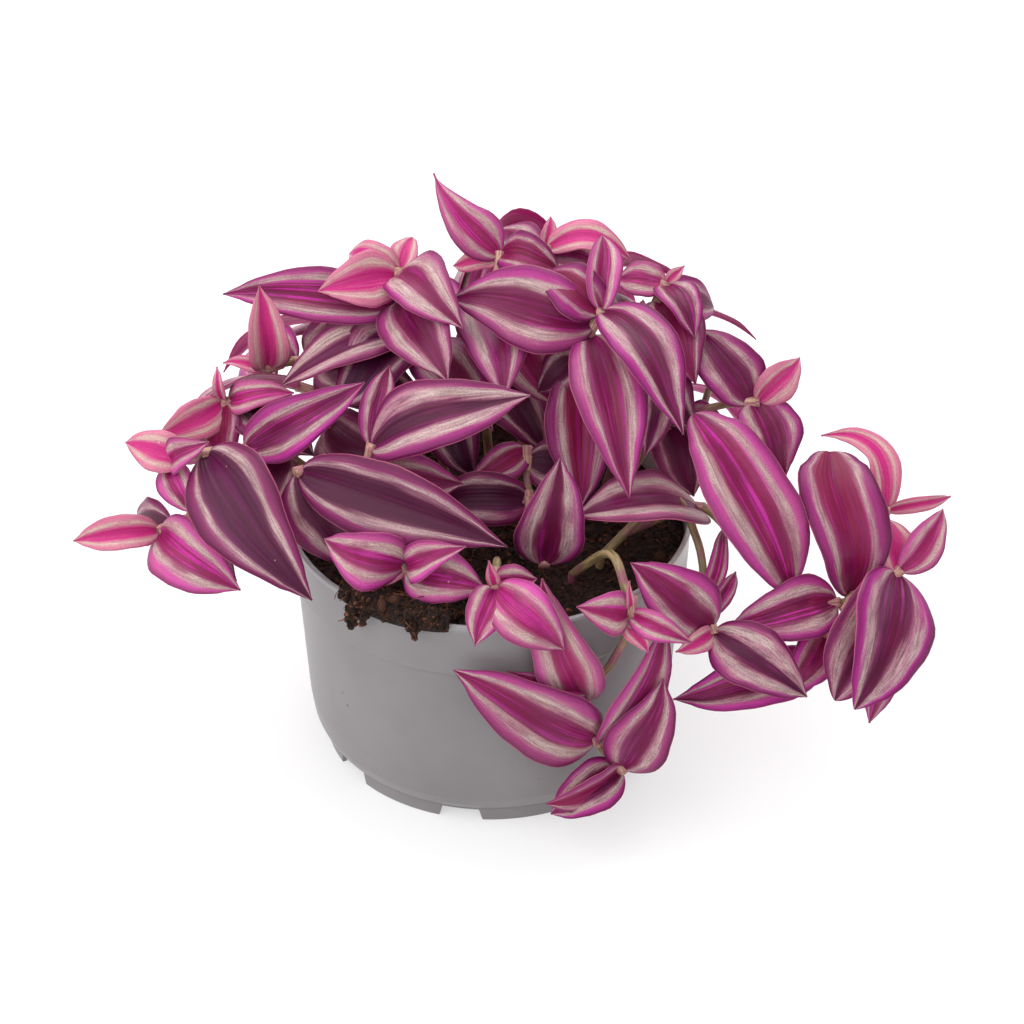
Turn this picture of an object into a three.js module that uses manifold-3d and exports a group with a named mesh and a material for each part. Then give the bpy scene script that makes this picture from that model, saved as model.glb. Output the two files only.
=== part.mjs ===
// A tradescantia in a round nursery pot: the pot, its soil, and the leafy stems that mound over the
// rim and trail down the front and the right. Millimetres, +Z up, origin on the surface that the pot
// stands on, under the centre of its base.
import * as THREE from "three";
import Module from "manifold-3d";

const wasm = await Module();
wasm.setup();

// Pot
const POT_HEIGHT = 78;
const RIM_RADIUS = 60;
const WALL = 1.5;
const BAND_HEIGHT = 18.4;
const FOOT_RADIUS = 50.5;
const FOOT_HEIGHT = 5.5;
const HEEL_HEIGHT = 17;
const HEEL_RADIUS = FOOT_RADIUS + 4.6;
const PAD_RADIUS = 10;
const NOTCH_COUNT = 8;
const NOTCH_HEIGHT = 4;
const NOTCH_WIDTH = 12;
const NOTCH_START = -99.6;
const DRAIN_COUNT = 6;
const DRAIN_RADIUS = 4;
const DRAIN_CIRCLE = 32;
const SIDES = 30;

// Soil
const SOIL_LEVEL = POT_HEIGHT - 8;
const SOIL_GAP = 0.3;
const SOIL_BUMP = 1.4;
const HOLE_DEPTH = 14;
const HOLE_RADIUS = 2.4;
const HOLE_SIDES = 4;
const CLUMP_FROM = -134;
const CLUMP_TO = -101;
const CLUMP_STEPS = 7;

// Plant
const STEM_RADIUS = 1.6;
const STEM_SIDES = 4;
const STEM_STEP = 13;
const STEM_SINK = 12;
const BLADE_THICK = 0.8;
const BLADE_ROOM = 0.35;
const FOLD = 16;
const LARGE_STATIONS = [0, 0.14, 0.4, 0.75, 1];
const SMALL_STATIONS = [0, 0.25, 0.66, 1];
const SMALL_WIDTH = 13;
const ROOT_HALF = 0.9;
const TIP_HALF = 0.35;
const SAME_NODE = 8;

// The picture plane: places of leaves are stated on a plane through the rim's centre that faces a
// viewer in front, who looks down on it at this pitch and from this distance.
const VIEW_PITCH = THREE.MathUtils.degToRad(34.5);
const VIEW_DISTANCE = 900;
const RIM_CENTRE = new THREE.Vector3(0, 0, POT_HEIGHT);
const MOUND_CENTRE = new THREE.Vector3(0, 15, 56);
const RIGHT = new THREE.Vector3(1, 0, 0);
const UP = new THREE.Vector3(0, Math.sin(VIEW_PITCH), Math.cos(VIEW_PITCH));
const TOWARD = new THREE.Vector3(0, -Math.cos(VIEW_PITCH), Math.sin(VIEW_PITCH));

// The point at [right, up, near]: seen at (right, up) on the picture plane and `near` in front of it.
function seen([right, up, near]) {
  const spread = 1 - near / VIEW_DISTANCE;
  return RIM_CENTRE.clone()
    .addScaledVector(TOWARD, near)
    .addScaledVector(RIGHT, right * spread)
    .addScaledVector(UP, up * spread);
}

// The point at [azimuth in degrees, distance from the pot's axis, height], for the back of the plant.
function around([azimuth, radius, height]) {
  const angle = THREE.MathUtils.degToRad(azimuth);
  return new THREE.Vector3(radius * Math.cos(angle), radius * Math.sin(angle), height);
}

// A value between -1 and 1 that looks random and is the same for the same number.
function scatter(number) {
  const wave = Math.sin(number * 12.9898 + 4.1) * 43758.5453;
  return 2 * (wave - Math.floor(wave)) - 1;
}

// Closed solids
function solid(points, faces) {
  const corners = new Float32Array(points.length * 3);
  points.forEach((point, index) => corners.set([point.x, point.y, point.z], 3 * index));
  const volume = faces.reduce((sum, [a, b, c]) => (
    sum + points[a].dot(new THREE.Vector3().crossVectors(points[b], points[c]))), 0);
  const outward = volume > 0 ? faces : faces.map(([a, b, c]) => [a, c, b]);
  const mesh = new wasm.Mesh({
    numProp: 3,
    vertProperties: corners,
    triVerts: new Uint32Array(outward.flat()),
  });
  return new wasm.Manifold(mesh);
}

// The triangles of a convex outline with this many points.
const fan = (count) => Array.from({ length: count - 2 }, (_, index) => [0, index + 1, index + 2]);

// A skin over rings that all have the same number of points, closed at both ends by `cap` triangles.
function loft(rings, cap = fan(rings[0].length)) {
  const count = rings[0].length;
  const points = rings.flat();
  const faces = [];
  for (let ring = 0; ring + 1 < rings.length; ring += 1) {
    for (let side = 0; side < count; side += 1) {
      const next = (side + 1) % count;
      const a = ring * count + side;
      const b = ring * count + next;
      faces.push([a, b, b + count], [a, b + count, a + count]);
    }
  }
  const last = (rings.length - 1) * count;
  for (const [a, b, c] of cap) {
    faces.push([a, c, b], [last + a, last + b, last + c]);
  }
  return solid(points, faces);
}

// A body of revolution from a line of [radius, height] that starts and ends on the axis.
function revolve(line, sides) {
  const points = [];
  const faces = [];
  const starts = line.map(([radius, height]) => {
    const start = points.length;
    const copies = radius === 0 ? 1 : sides;
    for (let side = 0; side < copies; side += 1) {
      points.push(around([(360 * side) / sides, radius, height]));
    }
    return start;
  });
  for (let index = 0; index + 1 < line.length; index += 1) {
    const low = line[index][0] === 0 ? 0 : 1;
    const high = line[index + 1][0] === 0 ? 0 : 1;
    for (let side = 0; side < sides; side += 1) {
      const next = (side + 1) % sides;
      const a = starts[index] + side * low;
      const b = starts[index] + next * low;
      const c = starts[index + 1] + next * high;
      const d = starts[index + 1] + side * high;
      if (low) faces.push([a, b, c]);
      if (high) faces.push([a, c, d]);
    }
  }
  return solid(points, faces);
}

// Frames along a line of points: each holds the point, the direction and two directions across.
function framesAlong(points) {
  const tangents = points.map((point, index) => (
    points[Math.min(index + 1, points.length - 1)].clone().sub(points[Math.max(index - 1, 0)]).normalize()));
  const start = Math.abs(tangents[0].x) < 0.9 ? RIGHT : new THREE.Vector3(0, 1, 0);
  let across = start.clone();
  return points.map((point, index) => {
    const along = tangents[index];
    across = across.clone().addScaledVector(along, -across.dot(along)).normalize();
    return { point, across, other: new THREE.Vector3().crossVectors(along, across) };
  });
}

function tube(points, radii, sides) {
  const rings = framesAlong(points).map(({ point, across, other }, index) => {
    const ring = [];
    for (let side = 0; side < sides; side += 1) {
      const angle = (2 * Math.PI * side) / sides;
      ring.push(point.clone()
        .addScaledVector(across, radii[index] * Math.cos(angle))
        .addScaledVector(other, radii[index] * Math.sin(angle)));
    }
    return ring;
  });
  return loft(rings);
}

function cylinder(x, y, low, high, radius, sides) {
  return tube([new THREE.Vector3(x, y, low), new THREE.Vector3(x, y, high)], [radius, radius], sides);
}

function joined(solids) {
  return solids.reduce((whole, next) => whole.add(next));
}

// Pot
const BAND_FOOT = POT_HEIGHT - BAND_HEIGHT;
const FLOOR_LOW = FOOT_HEIGHT - 0.5;
const FLOOR_TOP = FLOOR_LOW + WALL;
const POT_OUTSIDE = [
  [0, FLOOR_LOW],
  [FOOT_RADIUS - WALL, FLOOR_LOW],
  [FOOT_RADIUS - WALL, 0],
  [FOOT_RADIUS, 0],
  [FOOT_RADIUS + 0.3, FOOT_HEIGHT - 0.7],
  [FOOT_RADIUS + 1.2, FOOT_HEIGHT],
  [FOOT_RADIUS + 3.3, FOOT_HEIGHT + 4],
  [HEEL_RADIUS, HEEL_HEIGHT],
  [RIM_RADIUS - 2.2, BAND_FOOT - 0.4],
  [RIM_RADIUS - 1.2, BAND_FOOT + 0.3],
  [RIM_RADIUS - 0.5, POT_HEIGHT - 1.8],
  [RIM_RADIUS, POT_HEIGHT - 1.4],
  [RIM_RADIUS, POT_HEIGHT],
];
const POT_INSIDE = [
  [RIM_RADIUS - WALL, POT_HEIGHT],
  [HEEL_RADIUS - WALL, HEEL_HEIGHT],
  [FOOT_RADIUS - 0.5, FLOOR_TOP + 2],
  [FOOT_RADIUS - 3, FLOOR_TOP],
  [0, FLOOR_TOP],
];

function makePot() {
  let pot = revolve([...POT_OUTSIDE, ...POT_INSIDE], SIDES);
  for (let index = 0; index < NOTCH_COUNT; index += 1) {
    const middle = NOTCH_START + (360 * index) / NOTCH_COUNT;
    const half = THREE.MathUtils.radToDeg(NOTCH_WIDTH / 2 / FOOT_RADIUS);
    const ring = (azimuth) => [
      around([azimuth, FOOT_RADIUS - 4, -1]),
      around([azimuth, FOOT_RADIUS + 3, -1]),
      around([azimuth, FOOT_RADIUS + 3, NOTCH_HEIGHT]),
      around([azimuth, FOOT_RADIUS - 4, NOTCH_HEIGHT]),
    ];
    pot = pot.subtract(loft([ring(middle - half), ring(middle + half)]));
  }
  for (let index = 0; index < DRAIN_COUNT; index += 1) {
    const { x, y } = around([(360 * index) / DRAIN_COUNT, DRAIN_CIRCLE, 0]);
    pot = pot.subtract(cylinder(x, y, -1, FLOOR_TOP + 1, DRAIN_RADIUS, 10));
  }
  return pot.add(cylinder(0, 0, 0, FLOOR_LOW + 0.5, PAD_RADIUS, 24));
}

// Soil
const SOIL_EDGE = RIM_RADIUS - WALL - 0.7 - SOIL_GAP;
const SOIL_RINGS = [0.94, 0.55];

function soilTop() {
  const bumps = [];
  let number = 1;
  for (const share of SOIL_RINGS) {
    const ring = [];
    for (let side = 0; side < SIDES; side += 1) {
      number += 1;
      const rise = 1.2 + SOIL_BUMP * scatter(number);
      ring.push(around([(360 * side) / SIDES, SOIL_EDGE * share, SOIL_LEVEL + rise]));
    }
    bumps.push(ring);
  }
  return bumps;
}

function soilBody() {
  const ringAt = ([radius, height]) => {
    const ring = [];
    for (let side = 0; side < SIDES; side += 1) ring.push(around([(360 * side) / SIDES, radius, height]));
    return ring;
  };
  const wall = [
    [FOOT_RADIUS - 3 - SOIL_GAP, FLOOR_TOP + SOIL_GAP],
    [FOOT_RADIUS - 0.5 - SOIL_GAP, FLOOR_TOP + 2 + SOIL_GAP],
    [HEEL_RADIUS - WALL - SOIL_GAP, HEEL_HEIGHT],
    [SOIL_EDGE, SOIL_LEVEL],
  ];
  return loft([...wall.map(ringAt), ...soilTop()]);
}

// The clump of soil and fibre that spills over the rim at the front left: a section that rises from
// the soil, passes over the rim with a small gap and hangs outside, swept along part of the rim.
const CLUMP_UNDER = [[50, 66], [56.4, 68], [57.6, 78.4], [60.4, 78.5], [60.6, 76.6]];
const CLUMP_OVER = [[62, 76.2], [62.6, 79], [61.6, 81.4], [57.6, 82.6], [51.5, 78.8], [45, 71]];
const CLUMP_THIN = [[61.3, 77], [61.5, 78.4], [60.9, 79.8], [57.4, 80.4], [53, 75.4], [46.5, 70]];
const CLUMP_BITS = [
  { way: [[-127, 61.8, 79.4], [-128, 62.8, 77.4], [-129, 62.6, 69.6]], radii: [1.5, 1.6, 0.8] },
  { way: [[-124, 61.8, 79.2], [-124.4, 62.5, 77], [-125.2, 62.4, 72.5]], radii: [1.3, 1.2, 0.6] },
  { way: [[-111, 61.8, 79], [-110.6, 62.4, 77], [-110, 62.2, 73.4]], radii: [1.1, 1.1, 0.6] },
];

function makeClump() {
  const rings = [];
  for (let step = 0; step <= CLUMP_STEPS; step += 1) {
    const share = step / CLUMP_STEPS;
    const azimuth = CLUMP_FROM + (CLUMP_TO - CLUMP_FROM) * share;
    const full = Math.sqrt(Math.sin(Math.PI * share)) * (0.85 + 0.15 * scatter(step + 90));
    const over = CLUMP_OVER.map(([radius, height], index) => [
      THREE.MathUtils.lerp(CLUMP_THIN[index][0], radius, full),
      THREE.MathUtils.lerp(CLUMP_THIN[index][1], height, full),
    ]);
    rings.push([...CLUMP_UNDER, ...over].map(([radius, height]) => around([azimuth, radius, height])));
  }
  const outline = [...CLUMP_UNDER, ...CLUMP_THIN].map(([radius, height]) => new THREE.Vector2(radius, height));
  const cap = THREE.ShapeUtils.triangulateShape(outline, []);
  const turned = THREE.ShapeUtils.area(outline) < 0 ? cap.map(([a, b, c]) => [a, c, b]) : cap;
  const bits = CLUMP_BITS.map(({ way, radii }) => tube(way.map(around), radii, 5));
  return joined([loft(rings, turned), ...bits]);
}

// Leaves. A leaf runs from its base to its tip, both [right, up, near] for the leaves that are seen
// from the front, or both [azimuth, radius, height] at the back. Its other values are its width, how
// far it arches outward and sways sideways as shares of its length, its roll and fold in degrees, and
// its taper, which is greater for a long narrow tip and less for a blunt one.
const leaf = (base, tip, width, more = {}) => (
  { base, tip, width, arch: 0.12, sway: 0, roll: 0, fold: FOLD, taper: TAPER, ...more }
);

// Attitudes that a leaf tries in turn until it is clear of what has grown before it: how far its tip
// and its middle are lifted away from the plant, and how far it is rolled.
const TIP_LIFTS = [0, 3, -3, 6, 10, 15, 21];
const MIDDLE_LIFTS = [0, 3, 6, 10];
const ROLLS = [0, 18, -18, 36, -36];
const ATTITUDES = TIP_LIFTS.flatMap((tip) => MIDDLE_LIFTS.flatMap((middle) => (
  ROLLS.map((roll) => ({ tip, middle, roll, cost: Math.abs(tip) + middle * 1.2 + Math.abs(roll) / 4 })))))
  .sort((a, b) => a.cost - b.cost);

// Half the width of a blade at a share of its length, as a share of half its greatest width.
const SWELL = 0.56;
const TAPER = 0.95;
const widestAt = (taper) => SWELL / (SWELL + taper);
const halfShare = (t, taper) => (t / widestAt(taper)) ** SWELL * ((1 - t) / (1 - widestAt(taper))) ** taper;

// The sections of a blade that grows from `base` on its stem: left edge, midrib and right edge of its
// upper face at each station.
function bladeSections(shape, base, place, attitude) {
  const tip = place.point(shape.tip);
  const away = place.away(base.clone().lerp(tip, 0.5));
  tip.addScaledVector(away.lift, attitude.tip);
  const span = tip.clone().sub(base);
  const length = span.length();
  const along = span.clone().normalize();
  const facing = away.facing.clone().addScaledVector(along, -away.facing.dot(along)).normalize();
  facing.applyAxisAngle(along, THREE.MathUtils.degToRad(shape.roll + attitude.roll));
  const side = new THREE.Vector3().crossVectors(along, facing);
  const rise = THREE.MathUtils.degToRad(shape.fold);
  const bow = (t) => 4 * t * (1 - t);
  const centre = (t) => base.clone()
    .addScaledVector(span, t)
    .addScaledVector(facing, length * shape.arch * bow(t))
    .addScaledVector(away.lift, attitude.middle * bow(t))
    .addScaledVector(side, length * shape.sway * bow(t));
  const stations = shape.width < SMALL_WIDTH || place === BACK ? SMALL_STATIONS : LARGE_STATIONS;
  return stations.map((t) => {
    const heading = centre(Math.min(t + 0.02, 1)).sub(centre(Math.max(t - 0.02, 0))).normalize();
    const normal = facing.clone().addScaledVector(heading, -facing.dot(heading)).normalize();
    const across = new THREE.Vector3().crossVectors(heading, normal);
    const least = t < widestAt(shape.taper) ? ROOT_HALF : TIP_HALF;
    const half = Math.max((shape.width / 2) * halfShare(t, shape.taper), least);
    const edge = (sign) => centre(t)
      .addScaledVector(across, sign * half * Math.cos(rise))
      .addScaledVector(normal, half * Math.sin(rise));
    return { left: edge(-1), middle: centre(t), right: edge(1), normal };
  });
}

// A blade as a closed body: its upper face at `above` over the sections, its lower face `thick` below
// that, both split into triangles alike, with a rim between them.
function blade(sections, thick, above) {
  const points = sections.flatMap(({ left, middle, right, normal }) => [above, above - thick].flatMap((level) => (
    [left, middle, right].map((point) => point.clone().addScaledVector(normal, level)))));
  const faces = [];
  const quad = (a, b, c, d) => faces.push([a, b, c], [a, c, d]);
  for (let station = 0; station + 1 < sections.length; station += 1) {
    const here = 6 * station;
    const next = here + 6;
    for (const column of [0, 1]) {
      quad(here + column, here + column + 1, next + column + 1, next + column);
      faces.push([here + column + 3, next + column + 4, here + column + 4]);
      faces.push([here + column + 3, next + column + 3, next + column + 4]);
    }
    quad(here, next, next + 3, here + 3);
    quad(here + 2, here + 5, next + 5, next + 2);
  }
  const last = 6 * (sections.length - 1);
  for (const column of [0, 1]) {
    quad(column, column + 3, column + 4, column + 1);
    quad(last + column, last + column + 1, last + column + 4, last + column + 3);
  }
  return solid(points, faces);
}

const FRONT = {
  point: seen,
  away: (middle) => ({
    lift: TOWARD,
    facing: middle.clone().sub(MOUND_CENTRE).normalize().multiplyScalar(0.4).add(TOWARD).normalize(),
  }),
};
const BACK = {
  point: around,
  away: (middle) => {
    const outward = middle.clone().sub(MOUND_CENTRE).normalize();
    return { lift: outward, facing: outward };
  },
};

// Each stem rises from a hole in the soil at `root` and runs through the points of `way`; a branch
// leaves a point of the stem. The leaves seen in front are listed by the stem that they grow on.
const STEMS = [
  {
    name: "stem_crown_left", root: [-12, 12], way: [[-22, 50, 0], [-27, 63, 5], [-27, 71, 6]],
    leaves: [
      leaf([-24, 52, 0], [-46, 28, 8], 23),
      leaf([-22, 48, -2], [0, 22, 12], 22),
      leaf([-24, 50, 4], [-62, 36, 9], 19),
      leaf([-18, 38, -2], [-5, 8, 0], 20),
      leaf([-31, 60, 4], [-79, 64, 5], 17.5, { arch: 0.06, roll: -12 }),
      leaf([-29, 67.5, 8], [-51, 64, 14], 17, { roll: -10 }),
      leaf([-28, 70, 5], [-42, 74.5, -2], 10.5, { arch: 0.3 }),
      leaf([-27, 70, 4], [-23, 80, -4], 8.5),
      leaf([-28, 68.5, 9], [-7.7, 53, 26], 20, { arch: 0.2 }),
      leaf([-30, 60, 10], [-13, 37, 30], 23),
    ],
  },
  {
    name: "stem_top", root: [0, 22], way: [[-2, 55, 0], [2, 68, 1], [3, 75, 0]],
    leaves: [
      leaf([-1, 56, 0], [20, 30, 8], 22),
      leaf([-1, 42, -3], [16, 16, 2], 22),
      leaf([6, 74, 0], [-17.5, 98.5, -2], 15.5, { sway: -0.08, taper: 1.5 }),
      leaf([3, 75, 2], [21, 70, 6], 15, { arch: 0.22 }),
      leaf([2, 73, -2], [-11, 71, -6], 8.5),
      leaf([-6, 61, 8], [4, 32, 28], 23),
    ],
  },
  {
    name: "stem_top_back", root: [10, 30], way: [[10, 62, -14], [16, 72, -13], [17, 77, -12]],
    leaves: [
      leaf([10, 60, -14], [-12, 42, -8], 18),
      leaf([16.5, 77, -12], [18, 86, -14], 5),
      leaf([17.5, 76, -11], [42, 73, -12], 11.5, { arch: 0.22, sway: -0.12 }),
      leaf([15, 72, -14], [2, 82, -26], 15),
      leaf([17, 74, -14], [32, 70, -32], 17.5),
    ],
  },
  {
    name: "stem_centre_right", root: [14, 2], way: [[22, 30, 8], [29, 50, 18], [33, 58, 22]],
    branches: [[[29, 50, 18], [40, 44, 19], [50, 37, 20]]],
    leaves: [
      leaf([31, 55, 18], [-12, 62, 15], 25.5, { roll: -8 }),
      leaf([32, 57, 23], [15, 69, 16], 17.5, { arch: 0.2 }),
      leaf([33.5, 58, 22], [33, 80.5, 10], 13, { fold: 34 }),
      leaf([35, 58, 24], [56, 21, 40], 19.5, { arch: 0.2, sway: -0.06 }),
      leaf([28, 50, 22], [41, 2.5, 44], 22),
      leaf([23, 40, 14], [27, -1, 20], 22),
      leaf([49, 37, 21], [46, 15, 32], 13),
      leaf([26, 46, 13], [14, 34, 12], 12.9),
    ],
  },
  {
    name: "stem_right_top", root: [26, 16], way: [[40, 44, -4], [49, 60, 2], [52, 66, 4]],
    leaves: [
      leaf([38, 42, -4], [60, 22, 2], 22),
      leaf([52, 65, 6], [61, 50, 16], 14, { arch: 0.2 }),
      leaf([52.5, 66, 5], [57.5, 71.5, 4], 4),
      leaf([52, 66, 4], [37, 67, -2], 12.5),
      leaf([48, 62, 2], [60, 36, 14], 18.5),
      leaf([50, 62, -2], [66, 58, -22], 16),
    ],
  },
  {
    name: "stem_right", root: [35, 3], way: [[52, 24, 6], [68, 30, 10], [79, 31, 12]],
    leaves: [
      leaf([52, 24, 6], [60, 3, 10], 20),
      leaf([77, 31, 13], [61, 53, 10], 19.5, { roll: 10 }),
      leaf([79, 31, 14], [92, 44, 10], 11.5, { arch: 0.18 }),
      leaf([78, 30, 12], [87, 9, 16], 21),
      leaf([57, 27, 8], [70, 25, 10], 10.5),
    ],
  },
  {
    name: "stem_trail_right", root: [39, -8],
    way: [[62, 0, 14], [70, -6, 18], [79, -16, 20], [88, -24, 22], [97, -28, 21], [106, -28, 19],
      [114, -25, 19], [121, -19, 19]],
    branches: [
      [[106, -28, 19], [113, -14, 13], [117, -1, 9]],
      [[97, -28, 21], [99, -36, 16], [98, -46, 10]],
    ],
    leaves: [
      leaf([62.5, 0, 16], [24, -3, 30], 25.5, { roll: 6 }),
      leaf([90, -22, 23], [61, 28, 34], 26, { arch: 0.14, taper: 0.5 }),
      leaf([107, -26, 19], [99.5, 16.5, 14], 26.5, { arch: 0.1, taper: 0.4 }),
      leaf([103, -29, 20], [71, -35, 24], 19.5, { roll: 8 }),
      leaf([117, -2, 9], [98, 22, 6], 10.5, { sway: 0.28 }),
      leaf([117.5, 0, 9], [136.5, 3, 4], 5, { arch: 0.2 }),
      leaf([121, -20, 21], [108, -60, 40], 29, { taper: 0.8 }),
      leaf([119.5, -20, 19], [101.5, -57, 26], 25, { roll: 10, taper: 0.7 }),
      leaf([118, -24, 14], [113, -64, 12], 17.5),
      leaf([120, -19, 15], [117, -3, 12], 14),
      leaf([121, -19, 19], [134.5, -1, 10], 11.5, { arch: 0.16 }),
      leaf([98.5, -37, 15], [88, -54, 14], 16),
      leaf([98, -45, 10], [54.5, -58, 14], 17.5, { roll: 10 }),
    ],
  },
  {
    name: "stem_lower_right", root: [32, -20],
    way: [[54, 3, 20], [61, -9, 22], [63, -18, 24], [63, -26, 26], [66, -37, 28]],
    leaves: [
      leaf([65.5, -36, 29], [41.5, -16.5, 40], 21),
      leaf([66, -37, 28], [94, -56, 30], 19.5, { arch: 0.16 }),
      leaf([66, -37, 30], [55, -43, 36], 7.5),
      leaf([64, -27, 25], [69.5, -6, 16], 6.5),
      leaf([65, -32, 25], [72.7, -19, 20], 6.5),
    ],
  },
  {
    name: "stem_front_right", root: [24, -28],
    way: [[36, -14, 37], [40, -24, 42], [42, -33, 41], [36, -46, 33], [28, -57, 25], [31, -68, 21], [39, -78, 17]],
    leaves: [
      leaf([42, -32, 42], [25.5, -30, 50], 13, { arch: 0.18 }),
      leaf([42, -31, 42], [41, -22, 50], 3),
      leaf([42, -33, 43], [60, -40, 44], 8.5, { arch: 0.3 }),
      leaf([41, -35, 41], [47, -43, 42], 6.5, { arch: 0.2 }),
      leaf([27, -58, 27], [14, -21.5, 56], 19.5),
      leaf([31, -52, 24], [5, -49, 34], 6.5),
      leaf([29, -70, 21], [-11, -48.5, 44], 24.5),
      leaf([32, -70, 20], [51, -33, 36], 17.5),
      leaf([39, -78, 18], [52, -51, 30], 19.5),
      leaf([38, -78, 18], [16.5, -88, 24], 15, { roll: -25 }),
      leaf([39, -79, 17], [18, -91, 16], 16, { roll: 25, arch: 0.2 }),
    ],
  },
  {
    name: "stem_front_centre", root: [2, -34], way: [[2, -16, 42], [1.5, -24, 47]],
    leaves: [
      leaf([2, -22, 46], [14, -21.5, 48], 10.5),
      leaf([2, -23, 48], [-0.5, -16, 54], 4),
      leaf([1, -23, 48], [-5, -41, 56], 13),
      leaf([2, -25, 47], [22, -42, 46], 17.5),
    ],
  },
  {
    name: "stem_front_left", root: [-24, -26], way: [[-24.5, -22, 32], [-25, -17, 40]],
    leaves: [
      leaf([-25.5, -16, 40], [-49, -9, 42], 18.5, { arch: 0.18 }),
      leaf([-25, -17, 42], [-7, -11.5, 50], 11.5, { arch: 0.24 }),
      leaf([-24, -18, 39], [-1, -24, 44], 17.5, { arch: 0.16 }),
      leaf([-26, -19, 38], [-35, -23, 40], 5),
    ],
  },
  {
    name: "stem_left_low", root: [-40, -6], way: [[-66, 4, 0], [-86, -2, 6], [-98, -7, 13]],
    leaves: [
      leaf([-98, -7, 14], [-123.5, -9.5, 14], 12.5, { arch: 0.16, fold: 30 }),
      leaf([-98, -8, 15], [-74, -25, 26], 21, { arch: 0.16 }),
      leaf([-88, -3, 8], [-75, -22, 12], 10.5),
      leaf([-94, -6, 10], [-104, -4, -14], 15),
    ],
  },
  {
    name: "stem_left_mid", root: [-40, 4], way: [[-62, 16, 8], [-84, 16, 20], [-95, 13, 16]],
    leaves: [
      leaf([-60, 15, 8], [-70, -8, 12], 20),
      leaf([-84, 15, 20], [-52, -27, 44], 27.5),
      leaf([-72, 15, 15], [-36.7, 36.3, 28], 17),
      leaf([-89, 15, 17], [-108, 19, 14], 12.9, { arch: 0.16 }),
      leaf([-94, 14, 14], [-83, 19, 26], 10.5, { arch: 0.24 }),
      leaf([-94.5, 13, 14], [-96, 21, 18], 5),
      leaf([-95, 12, 14], [-88, -2.5, 22], 11.5),
    ],
  },
  {
    name: "stem_left_upper", root: [-33, 12], way: [[-54, 30, -4], [-70, 31, 4], [-79, 31, 7]],
    leaves: [
      leaf([-46, 26, -6], [-26, 6, 12], 22),
      leaf([-79, 31, 8], [-98, 21, 8], 13, { arch: 0.16 }),
      leaf([-78.5, 31, 8], [-80.5, 41.5, 8], 4),
      leaf([-77, 32, 8], [-58, 34, 16], 10.5, { arch: 0.18 }),
      leaf([-79, 30, 8], [-79, 13, 5], 16),
      leaf([-73, 30, 6], [-63, 34, 10], 6.5),
      leaf([-73, 31, 5], [-52, 15, 8], 20),
    ],
  },
  {
    name: "stem_left_top", root: [-24, 20], way: [[-44, 42, -10], [-58, 43, -2], [-66, 41, 2]],
    leaves: [
      leaf([-50, 43, -6], [-20, 31, 8], 24),
      leaf([-66, 41, 4], [-68, 65.5, 18], 15, { fold: 30 }),
      leaf([-66, 42, 2], [-79, 43, 2], 5, { arch: 0.24 }),
      leaf([-61, 40, 4], [-33, 45.5, 16], 22, { roll: 10, arch: 0.06 }),
      leaf([-58, 43, -3], [-66, 52, -22], 12.9),
      leaf([-54, 43, -6], [-37, 56, -8], 18),
    ],
  },
  {
    name: "stem_middle_left", root: [-26, -6], way: [[-38, 8, 24], [-50, 12, 27], [-58, 10, 30]],
    branches: [[[-38, 8, 24], [-36, 14, 25], [-35, 18, 26]]],
    leaves: [
      leaf([-40, 9, 24], [-8, 6, 22], 18),
      leaf([-56, 10, 31], [5.5, -11, 50], 23, { arch: 0.08 }),
      leaf([-35, 17, 27], [12, 33, 40], 23.5),
      leaf([-57, 7, 28], [-37, -18, 23], 24),
      leaf([-36, 19, 24], [-30, 42, 16], 10.5),
    ],
  },
  {
    name: "stem_centre_upright", root: [10, -16], way: [[12, -6, 14], [11, 8, 12], [11, 18, 9]],
    branches: [[[12, -6, 14], [15, -11, 20], [16, -17, 24]]],
    leaves: [
      leaf([11, 14, 10], [32, 8, 6], 18),
      leaf([12, 2, 13], [-20, 2, 10], 17),
      leaf([16, -17, 24], [21, 14.5, 44], 21, { arch: 0.08 }),
      leaf([11, 17, 9], [-7, 5, 12], 11.5),
      leaf([11.5, 4, 13], [-2, -3, 12], 6.5),
    ],
  },
];

// The back isn't seen in front. Its stems leave the soil at even angles, arch over the rim and carry
// leaves in turn to their left and right, with small differences from one to the next.
const BACK_STEMS = [
  { azimuth: 22, reach: 92, height: 88 },
  { azimuth: 47, reach: 84, height: 78 },
  { azimuth: 72, reach: 90, height: 98 },
  { azimuth: 97, reach: 82, height: 76 },
  { azimuth: 122, reach: 90, height: 96 },
  { azimuth: 154, reach: 86, height: 80 },
];
const BACK_LEAVES = 5;

function backStem({ azimuth, reach, height }, number) {
  const root = around([azimuth, 40, 0]);
  const crest = 108 + 5 * scatter(number);
  const way = [[azimuth, 48, 96], [azimuth + 2, 62, crest], [azimuth + 3, 78, crest - 4], [azimuth + 4, reach, height]];
  const leaves = [];
  for (let index = 0; index < BACK_LEAVES; index += 1) {
    const share = (index + 1) / BACK_LEAVES;
    const key = number * 20 + index;
    const side = index % 2 ? 1 : -1;
    const turn = share === 1 ? 6 * side : (18 + 5 * scatter(key)) * side;
    const out = 48 + (reach - 48) * share;
    const level = share < 0.45 ? 100 + 10 * share : crest - (crest - height) * ((share - 0.45) / 0.55) ** 1.6;
    const length = 38 + 8 * scatter(key + 7);
    leaves.push(leaf(
      [azimuth + 3 * share, out - 1, level],
      [azimuth + turn, out + length * 0.62, level + 14 - 34 * share + 6 * scatter(key + 3)],
      21 + 4 * scatter(key + 5),
      { arch: 0.16 },
    ));
  }
  return { name: `stem_back_${number}`, root: [root.x, root.y], way, leaves, place: BACK };
}

const ALL_STEMS = [...STEMS, ...BACK_STEMS.map((stem, index) => backStem(stem, index + 1))];

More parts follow.
